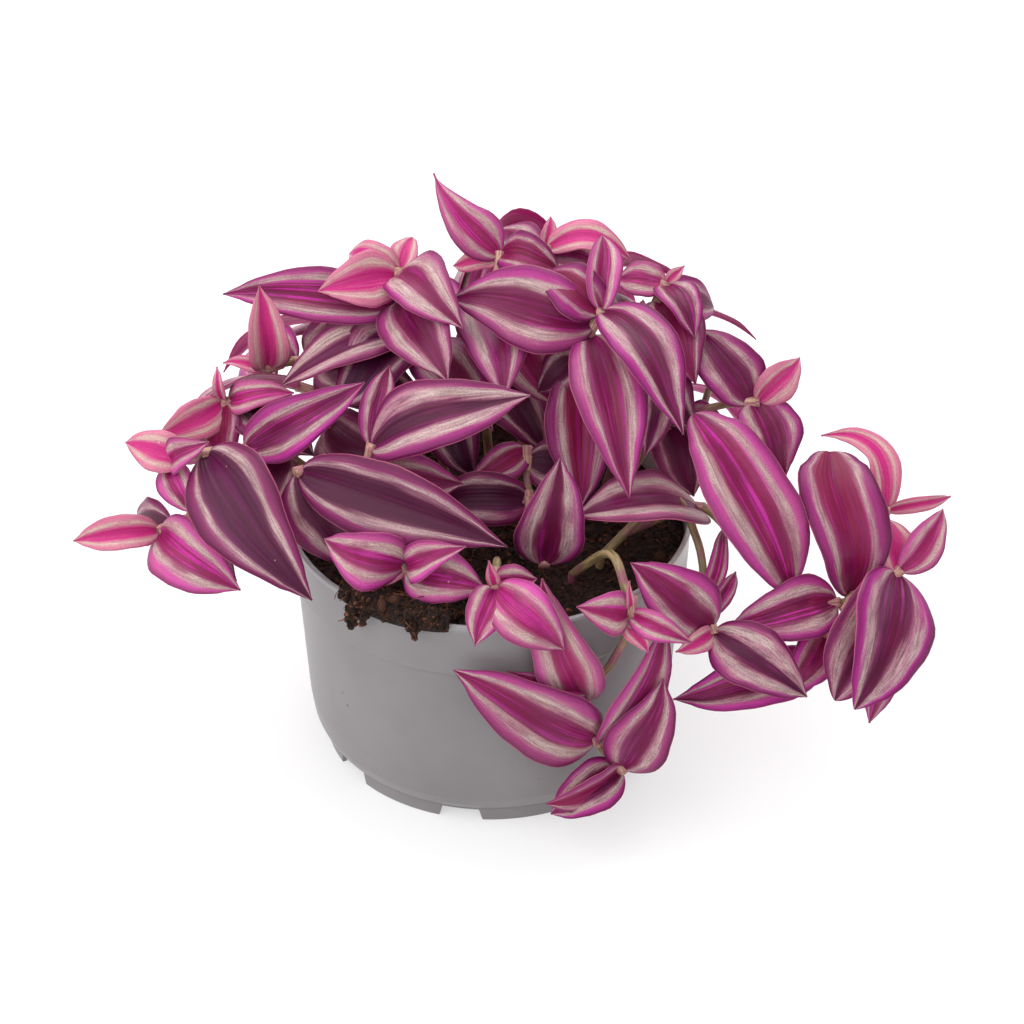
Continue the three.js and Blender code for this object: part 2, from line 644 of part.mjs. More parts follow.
// The middle line of a stem or branch: a smooth curve cut into steps.
function smooth(points) {
  const curve = new THREE.CatmullRomCurve3(points, false, "centripetal");
  return curve.getSpacedPoints(Math.max(2, Math.ceil(curve.getLength() / STEM_STEP)));
}

function stemLines({ root: [x, y], way, branches = [], place = FRONT }) {
  const foot = [new THREE.Vector3(x, y, SOIL_LEVEL - STEM_SINK), new THREE.Vector3(x, y, SOIL_LEVEL + 4)];
  const main = [foot[0], ...smooth([foot[1], ...way.map(place.point)])];
  return [main, ...branches.map((branch) => smooth(branch.map(place.point)))];
}

const thinning = (line, thick, thin) => line.map((_, index) => THREE.MathUtils.lerp(thick, thin, index / (line.length - 1)));

function nearestOn(lines, point) {
  let best = null;
  for (const line of lines) {
    for (let index = 0; index + 1 < line.length; index += 1) {
      const found = new THREE.Line3(line[index], line[index + 1]).closestPointToPoint(point, true, new THREE.Vector3());
      if (!best || found.distanceTo(point) < best.distanceTo(point)) best = found;
    }
  }
  return best;
}

// Growing: all the stems first, then the leaves from the back to the front, each in the first
// attitude that is clear of the pot, the soil and every other plant. A leaf with no room isn't grown.
const pot = makePot();
const soil = (() => {
  let whole = soilBody().add(makeClump());
  for (const { root: [x, y] } of ALL_STEMS) {
    whole = whole.subtract(cylinder(x, y, SOIL_LEVEL - HOLE_DEPTH, SOIL_LEVEL + 30, HOLE_RADIUS, HOLE_SIDES));
  }
  return whole;
})();

function boxOf(body) {
  const { min, max } = body.boundingBox();
  return new THREE.Box3(new THREE.Vector3(...min), new THREE.Vector3(...max));
}

const grown = [{ owner: "pot", body: pot, box: boxOf(pot) }, { owner: "soil", body: soil, box: boxOf(soil) }];
const keep = (owner, body, base = null) => grown.push({ owner, body, base, box: boxOf(body) });

function clear(body, ignored) {
  const box = boxOf(body);
  return grown.every((other) => (
    ignored(other) || !other.box.intersectsBox(box) || other.body.intersect(body).isEmpty()));
}

const plants = ALL_STEMS.map((stem) => {
  const lines = stemLines(stem);
  const tubes = lines.map((line) => tube(line, thinning(line, STEM_RADIUS, STEM_RADIUS * 0.75), STEM_SIDES));
  return { ...stem, lines, parts: tubes, place: stem.place ?? FRONT };
});
for (const plant of plants) {
  for (const part of plant.parts) {
    keep(plant.name, part);
  }
}

const waiting = plants.flatMap((plant) => plant.leaves.map((shape) => ({ plant, shape })));
const nearness = ({ shape, plant }) => (plant.place === BACK ? -50 : shape.base[2] + shape.tip[2]);
waiting.sort((a, b) => nearness(a) - nearness(b));
for (const { plant, shape } of waiting) {
  const base = nearestOn(plant.lines, plant.place.point(shape.base));
  const roomy = (choice) => (
    blade(bladeSections(shape, base, plant.place, choice), BLADE_THICK + 2 * BLADE_ROOM, BLADE_ROOM));
  const ownStem = (other) => other.owner === plant.name && (!other.base || other.base.distanceTo(base) < SAME_NODE);
  const ownPlant = (other) => other.owner === plant.name;
  const attitude = ATTITUDES.find((choice) => clear(roomy(choice), ownStem))
    ?? ATTITUDES.find((choice) => clear(roomy(choice), ownPlant));
  if (attitude) {
    const body = blade(bladeSections(shape, base, plant.place, attitude), BLADE_THICK, 0);
    plant.parts.push(body);
    keep(plant.name, body, base);
  }
}

// The triangles of a body's outer skin: the shells that its joins have sealed inside are left out.
function outerTriangles({ numProp, vertProperties, triVerts }) {
  const group = Array.from({ length: vertProperties.length / numProp }, (_, index) => index);
  const find = (index) => {
    let root = index;
    while (group[root] !== root) root = group[root];
    group[index] = root;
    return root;
  };
  for (let corner = 0; corner < triVerts.length; corner += 3) {
    group[find(triVerts[corner])] = find(triVerts[corner + 1]);
    group[find(triVerts[corner + 1])] = find(triVerts[corner + 2]);
  }
  const counts = new Map();
  for (const index of triVerts) counts.set(find(index), (counts.get(find(index)) ?? 0) + 1);
  const largest = [...counts.entries()].sort((a, b) => b[1] - a[1])[0][0];
  return Array.from(triVerts).filter((_, index) => find(triVerts[index - (index % 3)]) === largest);
}

// Meshes
function meshOf(name, body, color, roughness, metalness = 0) {
  const { numProp, vertProperties, triVerts } = body.getMesh();
  const corners = new Float32Array((vertProperties.length / numProp) * 3);
  for (let index = 0; index * numProp < vertProperties.length; index += 1) {
    for (let axis = 0; axis < 3; axis += 1) corners[3 * index + axis] = vertProperties[index * numProp + axis];
  }
  const geometry = new THREE.BufferGeometry();
  geometry.setAttribute("position", new THREE.BufferAttribute(corners, 3));
  geometry.setIndex(outerTriangles({ numProp, vertProperties, triVerts }));
  geometry.computeVertexNormals();
  const mesh = new THREE.Mesh(geometry, new THREE.MeshStandardMaterial({ color, roughness, metalness }));
  mesh.name = name;
  return mesh;
}

const part = new THREE.Group();
part.name = "potted_tradescantia";
part.add(meshOf("pot", pot, 0x94959a, 0.42));
part.add(meshOf("soil", soil, 0x2a1a14, 0.95));
for (const plant of plants) part.add(meshOf(plant.name, joined(plant.parts), 0x8f3f77, 0.4));

export default part;
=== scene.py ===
"""A potted tradescantia: a round nursery pot, crumbly soil and leafy stems with striped leaves.

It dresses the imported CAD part. The leaves follow the same places and rules as the part's source, but
for the first stem at the back, as the comment over BACK_STEMS says.
Sizes in the functions are millimetres; meshes are made in metres.
"""

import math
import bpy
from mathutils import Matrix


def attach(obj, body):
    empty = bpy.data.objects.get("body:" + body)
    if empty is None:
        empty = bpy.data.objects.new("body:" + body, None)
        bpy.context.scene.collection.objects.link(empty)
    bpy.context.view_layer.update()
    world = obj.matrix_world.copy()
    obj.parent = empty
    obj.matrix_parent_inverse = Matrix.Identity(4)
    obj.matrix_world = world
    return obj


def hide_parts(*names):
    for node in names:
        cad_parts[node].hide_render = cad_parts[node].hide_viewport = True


bl_info = {
    "name": "Potted Tradescantia",
    "version": (1, 0, 0),
    "blender": (4, 5, 0),
    "location": "3D View > Sidebar > Plant",
    "description": "Builds the pot, soil, stems and striped leaves of a trailing plant",
    "category": "Object",
}

import bmesh
import bpy
import numpy as np
from mathutils import Matrix, Vector, noise
from mathutils.kdtree import KDTree

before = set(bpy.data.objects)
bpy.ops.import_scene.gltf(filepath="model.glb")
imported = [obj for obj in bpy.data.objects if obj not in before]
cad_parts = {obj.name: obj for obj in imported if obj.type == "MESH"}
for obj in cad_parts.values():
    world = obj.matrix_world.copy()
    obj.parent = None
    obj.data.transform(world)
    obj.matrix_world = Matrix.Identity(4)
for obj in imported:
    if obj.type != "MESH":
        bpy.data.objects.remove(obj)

MM = 0.001

# Pot
POT_HEIGHT = 78.0
RIM_RADIUS = 60.0
WALL = 1.5
BAND_HEIGHT = 18.4
FOOT_RADIUS = 50.5
FOOT_HEIGHT = 5.5
FLOOR_UNDER = FOOT_HEIGHT - 0.5
FLOOR_TOP = FLOOR_UNDER + WALL
HEEL_RADIUS = FOOT_RADIUS + 4.6
HEEL_HEIGHT = 17.0
PAD_RADIUS = 10.0
NOTCH_COUNT = 8
NOTCH_HEIGHT = 4.0
NOTCH_WIDTH = 12.0
NOTCH_START = -99.6
DRAIN_COUNT = 6
DRAIN_RADIUS = 4.0
DRAIN_CIRCLE = 32.0
DRAIN_SIDES = 32
POT_COLUMNS = 288

# Soil
SOIL_LEVEL = POT_HEIGHT - 8.0
SOIL_EDGE = RIM_RADIUS - WALL - 1.0
SOIL_UNDER = FLOOR_TOP + 0.8
SOIL_COLUMNS = 180
SOIL_RINGS = 46
SOIL_MOUND = 14.0
SOIL_SINK = 14.0
SOIL_SINK_FROM = 0.9
CLUMP_FROM = -134.0
CLUMP_TO = -101.0
CLUMP_STEPS = 46
CLUMP_ROUND = 1.5

# Plant: the coarse step and the leaf stations are the CAD solid's, the fine step is for the looks
STEM_STEP = 13.0
FINE_STEP = 2.5
STEM_SINK = 12.0
BLADE_THICK = 0.8
FOLD = 16.0
LARGE_STATIONS = (0, 0.14, 0.4, 0.75, 1)
SMALL_STATIONS = (0, 0.25, 0.66, 1)
YOUNG_WIDTH = 8.6
SMALL_WIDTH = 13.0
ROOT_HALF = 0.9
TIP_HALF = 0.35
SWELL = 0.56
TAPER = 0.95
SAME_PLACE = 0.03

# The picture plane through the rim's centre, which faces the viewer
VIEW_PITCH = math.radians(34.5)
VIEW_DISTANCE = 900.0
RIM_CENTRE = np.array([0.0, 0.0, POT_HEIGHT])
MOUND_CENTRE = np.array([0.0, 15.0, 56.0])
RIGHT = np.array([1.0, 0.0, 0.0])
UP = np.array([0.0, math.sin(VIEW_PITCH), math.cos(VIEW_PITCH)])
TOWARD = np.array([0.0, -math.cos(VIEW_PITCH), math.sin(VIEW_PITCH)])

# The photograph's frame: its width, and the pixel and scale at the rim's centre
PICTURE_WIDTH = 1024
RIM_PIXEL = (490, 507)
PIXELS_PER_MM = 3.38
SENSOR = 36.0


def leaf(base, tip, width, arch=0.12, sway=0.0, roll=0.0, fold=FOLD, taper=TAPER, look="plain"):
    """A leaf's base and tip (right, up, near), its width, and its arch and sway as shares of its length."""
    return {
        "base": base, "tip": tip, "width": width, "arch": arch, "sway": sway, "roll": roll,
        "fold": fold, "taper": taper, "look": look,
    }


# How each look is coloured: how young and pink, how wide its silver, how vivid, and how wine red.
LOOKS = {
    "plain": (0.08, 0.6, 0.5, 0.4),
    "dark": (0.0, 0.35, 0.04, 0.15),
    "wine": (0.06, 0.4, 0.3, 1.0),
    "silver": (0.06, 1.0, 0.25, 0.15),
    "bright": (0.15, 0.5, 1.0, 0.4),
    "fresh": (0.3, 0.65, 0.9, 0.5),
    "pale": (0.9, 0.5, 0.5, 0.6),
}


# Each stem rises from a hole in the soil at `root` and runs through the points of `way`; a branch
# leaves a point of the stem. Its leaves are listed with it.
STEMS = [
    {
        "name": "stem_crown_left", "root": [-12, 12], "way": [[-22, 50, 0], [-27, 63, 5], [-27, 71, 6]],
        "leaves": [
            leaf((-24, 52, 0), (-46, 28, 8), 23, look="dark"),
            leaf((-22, 48, -2), (0, 22, 12), 22),
            leaf((-24, 50, 4), (-62, 36, 9), 19, look="silver"),
            leaf((-18, 38, -2), (-5, 8, 0), 20, look="dark"),
            leaf((-31, 60, 4), (-79, 64, 5), 17.5, arch=0.06, roll=-12, look="bright"),
            leaf((-29, 67.5, 8), (-51, 64, 14), 17, roll=-10, look="pale"),
            leaf((-28, 70, 5), (-42, 74.5, -2), 10.5, arch=0.3, look="pale"),
            leaf((-27, 70, 4), (-23, 80, -4), 8.5, look="pale"),
            leaf((-28, 68.5, 9), (-7.7, 53, 26), 20, arch=0.2),
            leaf((-30, 60, 10), (-13, 37, 30), 23),
        ],
    },
    {
        "name": "stem_top", "root": [0, 22], "way": [[-2, 55, 0], [2, 68, 1], [3, 75, 0]],
        "leaves": [
            leaf((-1, 56, 0), (20, 30, 8), 22, look="wine"),
            leaf((-1, 42, -3), (16, 16, 2), 22, look="dark"),
            leaf((6, 74, 0), (-17.5, 98.5, -2), 15.5, sway=-0.08, taper=1.5, look="fresh"),
            leaf((3, 75, 2), (21, 70, 6), 15, arch=0.22, look="wine"),
            leaf((2, 73, -2), (-11, 71, -6), 8.5, look="pale"),
            leaf((-6, 61, 8), (4, 32, 28), 23),
        ],
    },
    {
        "name": "stem_top_back", "root": [10, 30], "way": [[10, 62, -14], [16, 72, -13], [17, 77, -12]],
        "leaves": [
            leaf((10, 60, -14), (-12, 42, -8), 18, look="dark"),
            leaf((16.5, 77, -12), (18, 86, -14), 5, look="pale"),
            leaf((17.5, 76, -11), (42, 73, -12), 11.5, arch=0.22, sway=-0.12, look="pale"),
            leaf((15, 72, -14), (2, 82, -26), 15),
            leaf((17, 74, -14), (32, 70, -32), 17.5),
        ],
    },
    {
        "name": "stem_centre_right", "root": [14, 2], "way": [[22, 30, 8], [29, 50, 18], [33, 58, 22]],
        "branches": [[[29, 50, 18], [40, 44, 19], [50, 37, 20]]],
        "leaves": [
            leaf((31, 55, 18), (-12, 62, 15), 25.5, roll=-8),
            leaf((32, 57, 23), (15, 69, 16), 17.5, arch=0.2, look="wine"),
            leaf((33.5, 58, 22), (33, 80.5, 10), 13, fold=34, look="fresh"),
            leaf((35, 58, 24), (56, 21, 40), 19.5, arch=0.2, sway=-0.06),
            leaf((28, 50, 22), (41, 2.5, 44), 22),
            leaf((23, 40, 14), (27, -1, 20), 22, look="wine"),
            leaf((49, 37, 21), (46, 15, 32), 13, look="silver"),
            leaf((26, 46, 13), (14, 34, 12), 12.9, look="dark"),
        ],
    },
    {
        "name": "stem_right_top", "root": [26, 16], "way": [[40, 44, -4], [49, 60, 2], [52, 66, 4]],
        "leaves": [
            leaf((38, 42, -4), (60, 22, 2), 22, look="dark"),
            leaf((52, 65, 6), (61, 50, 16), 14, arch=0.2),
            leaf((52.5, 66, 5), (57.5, 71.5, 4), 4, look="pale"),
            leaf((52, 66, 4), (37, 67, -2), 12.5, look="fresh"),
            leaf((48, 62, 2), (60, 36, 14), 18.5, look="wine"),
            leaf((50, 62, -2), (66, 58, -22), 16),
        ],
    },
    {
        "name": "stem_right", "root": [35, 3], "way": [[52, 24, 6], [68, 30, 10], [79, 31, 12]],
        "leaves": [
            leaf((52, 24, 6), (60, 3, 10), 20, look="dark"),
            leaf((77, 31, 13), (61, 53, 10), 19.5, roll=10),
            leaf((79, 31, 14), (92, 44, 10), 11.5, arch=0.18, look="pale"),
            leaf((78, 30, 12), (87, 9, 16), 21),
            leaf((57, 27, 8), (70, 25, 10), 10.5),
        ],
    },
    {
        "name": "stem_trail_right", "root": [39, -8],
        "way": [
            [62, 0, 14], [70, -6, 18], [79, -16, 20], [88, -24, 22], [97, -28, 21], [106, -28, 19],
            [114, -25, 19], [121, -19, 19],
        ],
        "branches": [
            [[106, -28, 19], [113, -14, 13], [117, -1, 9]],
            [[97, -28, 21], [99, -36, 16], [98, -46, 10]],
        ],
        "leaves": [
            leaf((62.5, 0, 16), (24, -3, 30), 25.5, roll=6, look="silver"),
            leaf((90, -22, 23), (61, 28, 34), 26, arch=0.14, taper=0.5, look="bright"),
            leaf((107, -26, 19), (99.5, 16.5, 14), 26.5, arch=0.1, taper=0.4, look="wine"),
            leaf((103, -29, 20), (71, -35, 24), 19.5, roll=8, look="bright"),
            leaf((117, -2, 9), (98, 22, 6), 10.5, sway=0.28, look="pale"),
            leaf((117.5, 0, 9), (136.5, 3, 4), 5, arch=0.2, look="pale"),
            leaf((121, -20, 21), (108, -60, 40), 29, taper=0.8),
            leaf((119.5, -20, 19), (101.5, -57, 26), 25, roll=10, taper=0.7, look="silver"),
            leaf((118, -24, 14), (113, -64, 12), 17.5, look="bright"),
            leaf((120, -19, 15), (117, -3, 12), 14, look="pale"),
            leaf((121, -19, 19), (134.5, -1, 10), 11.5, arch=0.16, look="fresh"),
            leaf((98.5, -37, 15), (88, -54, 14), 16, look="bright"),
            leaf((98, -45, 10), (54.5, -58, 14), 17.5, roll=10, look="bright"),
        ],
    },
    {
        "name": "stem_lower_right", "root": [32, -20],
        "way": [[54, 3, 20], [61, -9, 22], [63, -18, 24], [63, -26, 26], [66, -37, 28]],
        "leaves": [
            leaf((65.5, -36, 29), (41.5, -16.5, 40), 21),
            leaf((66, -37, 28), (94, -56, 30), 19.5, arch=0.16, look="silver"),
            leaf((66, -37, 30), (55, -43, 36), 7.5, look="pale"),
            leaf((64, -27, 25), (69.5, -6, 16), 6.5, look="bright"),
            leaf((65, -32, 25), (72.7, -19, 20), 6.5, look="bright"),
        ],
    },
    {
        "name": "stem_front_right", "root": [24, -28],
        "way": [
            [36, -14, 37], [40, -24, 42], [42, -33, 41], [36, -46, 33], [28, -57, 25], [31, -68, 21],
            [39, -78, 17],
        ],
        "leaves": [
            leaf((42, -32, 42), (25.5, -30, 50), 13, arch=0.18, look="fresh"),
            leaf((42, -31, 42), (41, -22, 50), 3, look="pale"),
            leaf((42, -33, 43), (60, -40, 44), 8.5, arch=0.3, look="fresh"),
            leaf((41, -35, 41), (47, -43, 42), 6.5, arch=0.2, look="pale"),
            leaf((27, -58, 27), (14, -21.5, 56), 19.5, look="fresh"),
            leaf((31, -52, 24), (5, -49, 34), 6.5, look="bright"),
            leaf((29, -70, 21), (-11, -48.5, 44), 24.5),
            leaf((32, -70, 20), (51, -33, 36), 17.5, look="bright"),
            leaf((39, -78, 18), (52, -51, 30), 19.5),
            leaf((38, -78, 18), (16.5, -88, 24), 15, roll=-25, look="wine"),
            leaf((39, -79, 17), (18, -91, 16), 16, roll=25, arch=0.2),
        ],
    },
    {
        "name": "stem_front_centre", "root": [2, -34], "way": [[2, -16, 42], [1.5, -24, 47]],
        "leaves": [
            leaf((2, -22, 46), (14, -21.5, 48), 10.5, look="fresh"),
            leaf((2, -23, 48), (-0.5, -16, 54), 4, look="pale"),
            leaf((1, -23, 48), (-5, -41, 56), 13, look="fresh"),
            leaf((2, -25, 47), (22, -42, 46), 17.5, look="fresh"),
        ],
    },
    {
        "name": "stem_front_left", "root": [-24, -26], "way": [[-24.5, -22, 32], [-25, -17, 40]],
        "leaves": [
            leaf((-25.5, -16, 40), (-49, -9, 42), 18.5, arch=0.18, look="fresh"),
            leaf((-25, -17, 42), (-7, -11.5, 50), 11.5, arch=0.24, look="fresh"),
            leaf((-24, -18, 39), (-1, -24, 44), 17.5, arch=0.16, look="fresh"),
            leaf((-26, -19, 38), (-35, -23, 40), 5, look="pale"),
        ],
    },
    {
        "name": "stem_left_low", "root": [-40, -6], "way": [[-66, 4, 0], [-86, -2, 6], [-98, -7, 13]],
        "leaves": [
            leaf((-98, -7, 14), (-123.5, -9.5, 14), 12.5, arch=0.16, fold=30, look="pale"),
            leaf((-98, -8, 15), (-74, -25, 26), 21, arch=0.16, look="fresh"),
            leaf((-88, -3, 8), (-75, -22, 12), 10.5, look="dark"),
            leaf((-94, -6, 10), (-104, -4, -14), 15, look="dark"),
        ],
    },
    {
        "name": "stem_left_mid", "root": [-40, 4], "way": [[-62, 16, 8], [-84, 16, 20], [-95, 13, 16]],
        "leaves": [
            leaf((-60, 15, 8), (-70, -8, 12), 20, look="dark"),
            leaf((-84, 15, 20), (-52, -27, 44), 27.5, look="dark"),
            leaf((-72, 15, 15), (-36.7, 36.3, 28), 17, look="bright"),
            leaf((-89, 15, 17), (-108, 19, 14), 12.9, arch=0.16, look="pale"),
            leaf((-94, 14, 14), (-83, 19, 26), 10.5, arch=0.24, look="fresh"),
            leaf((-94.5, 13, 14), (-96, 21, 18), 5, look="pale"),
            leaf((-95, 12, 14), (-88, -2.5, 22), 11.5, look="fresh"),
        ],
    },
    {
        "name": "stem_left_upper", "root": [-33, 12], "way": [[-54, 30, -4], [-70, 31, 4], [-79, 31, 7]],
        "leaves": [
            leaf((-46, 26, -6), (-26, 6, 12), 22, look="dark"),
            leaf((-79, 31, 8), (-98, 21, 8), 13, arch=0.16, look="pale"),
            leaf((-78.5, 31, 8), (-80.5, 41.5, 8), 4, look="pale"),
            leaf((-77, 32, 8), (-58, 34, 16), 10.5, arch=0.18, look="fresh"),
            leaf((-79, 30, 8), (-79, 13, 5), 16, look="wine"),
            leaf((-73, 30, 6), (-63, 34, 10), 6.5),
            leaf((-73, 31, 5), (-52, 15, 8), 20, look="dark"),
        ],
    },
    {
        "name": "stem_left_top", "root": [-24, 20], "way": [[-44, 42, -10], [-58, 43, -2], [-66, 41, 2]],
        "leaves": [
            leaf((-50, 43, -6), (-20, 31, 8), 24, look="dark"),
            leaf((-66, 41, 4), (-68, 65.5, 18), 15, fold=30, look="pale"),
            leaf((-66, 42, 2), (-79, 43, 2), 5, arch=0.24, look="pale"),
            leaf((-61, 40, 4), (-33, 45.5, 16), 22, roll=10, arch=0.06, look="dark"),
            leaf((-58, 43, -3), (-66, 52, -22), 12.9),
            leaf((-54, 43, -6), (-37, 56, -8), 18, look="dark"),
        ],
    },
    {
        "name": "stem_middle_left", "root": [-26, -6], "way": [[-38, 8, 24], [-50, 12, 27], [-58, 10, 30]],
        "branches": [[[-38, 8, 24], [-36, 14, 25], [-35, 18, 26]]],
        "leaves": [
            leaf((-40, 9, 24), (-8, 6, 22), 18),
            leaf((-56, 10, 31), (5.5, -11, 50), 23, arch=0.08, look="dark"),
            leaf((-35, 17, 27), (12, 33, 40), 23.5, look="silver"),
            leaf((-57, 7, 28), (-37, -18, 23), 24, look="dark"),
            leaf((-36, 19, 24), (-30, 42, 16), 10.5),
        ],
    },
    {
        "name": "stem_centre_upright", "root": [10, -16], "way": [[12, -6, 14], [11, 8, 12], [11, 18, 9]],
        "branches": [[[12, -6, 14], [15, -11, 20], [16, -17, 24]]],
        "leaves": [
            leaf((11, 14, 10), (32, 8, 6), 18, look="dark"),
            leaf((12, 2, 13), (-20, 2, 10), 17, look="dark"),
            leaf((16, -17, 24), (21, 14.5, 44), 21, arch=0.08),
            leaf((11, 17, 9), (-7, 5, 12), 11.5, look="wine"),
            leaf((11.5, 4, 13), (-2, -3, 12), 6.5, look="wine"),
        ],
    },
]

# The stems at the back: their azimuth, how far out and how high they end. The first one's values aren't
# those of the part's source, which has 22, 92 and 88. Its leaves match none in the CAD node, so it is bare.
BACK_STEMS = ((28, 76, 84), (47, 84, 78), (72, 90, 98), (97, 82, 76), (122, 90, 96), (154, 86, 80))
BACK_LEAVES = 5
BACK_ROOT = 40
BACK_RISE = (48, 96)
BACK_CREST = 108


def seen(place):
    """The point seen at (right, up) on the picture plane and `near` in front of it."""
    right, up, near = place
    spread = 1 - near / VIEW_DISTANCE
    return RIM_CENTRE + TOWARD * near + (RIGHT * right + UP * up) * spread


def around(place):
    """The point at an azimuth in degrees, a distance from the pot's axis and a height."""
    azimuth, radius, height = place
    angle = math.radians(azimuth)
    return np.array([radius * math.cos(angle), radius * math.sin(angle), height])


def scatter(number):
    """A value between -1 and 1 that looks random and is the same for the same number."""
    wave = math.sin(number * 12.9898 + 4.1) * 43758.5453
    return 2 * (wave - math.floor(wave)) - 1


def unit(vector):
    return vector / np.linalg.norm(vector)


def back_stem(azimuth, reach, height, number):
    """A stem at the back, which arches over the rim with leaves in turn to its left and right."""
    root = around((azimuth, BACK_ROOT, 0))
    start, rise = BACK_RISE
    crest = BACK_CREST + 5 * scatter(number)
    way = [(azimuth, start, rise), (azimuth + 2, 62, crest), (azimuth + 3, 78, crest - 4),
           (azimuth + 4, reach, height)]
    leaves = []
    for index in range(BACK_LEAVES):
        share = (index + 1) / BACK_LEAVES
        key = number * 20 + index
        side = 1 if index % 2 else -1
        turn = 6 * side if share == 1 else (18 + 5 * scatter(key)) * side
        out = start + (reach - start) * share
        if share < 0.45:
            level = 100 + 10 * share
        else:
            level = crest - (crest - height) * ((share - 0.45) / 0.55) ** 1.6
        length = 38 + 8 * scatter(key + 7)
        tip = (azimuth + turn, out + length * 0.62, level + 14 - 34 * share + 6 * scatter(key + 3))
        width = 21 + 4 * scatter(key + 5)
        leaves.append(leaf((azimuth + 3 * share, out - 1, level), tip, width, arch=0.16))
    return {"name": f"stem_back_{number}", "root": root[:2], "way": way, "leaves": leaves, "back": True}


# Stems as smooth lines
CURVE_SAMPLES = 200


def curve_point(points, share):
    """A point of the centripetal curve through the points, at a share of its range."""
    place = (len(points) - 1) * share
    index = int(math.floor(place))
    weight = place - index
    if weight == 0 and index == len(points) - 1:
        index = len(points) - 2
        weight = 1.0
    p1 = points[index]
    p2 = points[index + 1]
    p0 = points[index - 1] if index > 0 else 2 * points[0] - points[1]
    p3 = points[index + 2] if index + 2 < len(points) else 2 * points[-1] - points[-2]
    d0, d1, d2 = (float(np.dot(b - a, b - a)) ** 0.25 for a, b in ((p0, p1), (p1, p2), (p2, p3)))
    leave = ((p1 - p0) / d0 - (p2 - p0) / (d0 + d1) + (p2 - p1) / d1) * d1
    arrive = ((p2 - p1) / d1 - (p3 - p1) / (d1 + d2) + (p3 - p2) / d2) * d1
    square = -3 * p1 + 3 * p2 - 2 * leave - arrive
    cube = 2 * p1 - 2 * p2 + leave + arrive
    return p1 + leave * weight + square * weight ** 2 + cube * weight ** 3


def lengths_along(line):
    """The length of the line up to each of its points."""
    steps = [np.linalg.norm(b - a) for a, b in zip(line, line[1:])]
    return np.concatenate([[0], np.cumsum(steps)])


def smooth_line(points, step):
    """The curve through the points, cut into even steps."""
    samples = [curve_point(points, index / CURVE_SAMPLES) for index in range(CURVE_SAMPLES + 1)]
    lengths = lengths_along(samples)
    count = max(2, math.ceil(lengths[-1] / step))
    even = np.linspace(0, lengths[-1], count + 1)
    shares = np.interp(even, lengths, np.linspace(0, 1, CURVE_SAMPLES + 1))
    return [curve_point(points, share) for share in shares]


def stem_lines(stem, step):
    """The middle lines of a stem and its branches."""
    place = around if stem.get("back") else seen
    x, y = stem["root"]
    foot = np.array([x, y, SOIL_LEVEL - STEM_SINK])
    collar = np.array([x, y, SOIL_LEVEL + 4.0])
    lines = [[foot] + smooth_line([collar] + [place(point) for point in stem["way"]], step)]
    for branch in stem.get("branches", []):
        lines.append(smooth_line([place(point) for point in branch], step))
    return lines


def nearest_on(lines, point):
    """The point of the lines that is nearest to a point, and the line's direction there."""
    best = None
    for line in lines:
        for start, end in zip(line, line[1:]):
            along = end - start
            share = min(1.0, max(0.0, float(np.dot(point - start, along) / np.dot(along, along))))
            found = start + along * share
            distance = float(np.linalg.norm(found - point))
            if best is None or distance < best[0]:
                best = (distance, found, unit(along))
    return best[1], best[2]


# Blades: the attitudes that the CAD source tries for a leaf, in its own order
TIP_LIFTS = (0, 3, -3, 6, 10, 15, 21)
MIDDLE_LIFTS = (0, 3, 6, 10)
ROLLS = (0, 18, -18, 36, -36)
LOOK_ALONG = 0.02
LOOK_SPREAD = 0.09


def half_share(t, taper):
    """Half the width of a blade at a share of its length, as a share of half its greatest width."""
    widest = SWELL / (SWELL + taper)
    return (t / widest) ** SWELL * ((1 - t) / (1 - widest)) ** taper


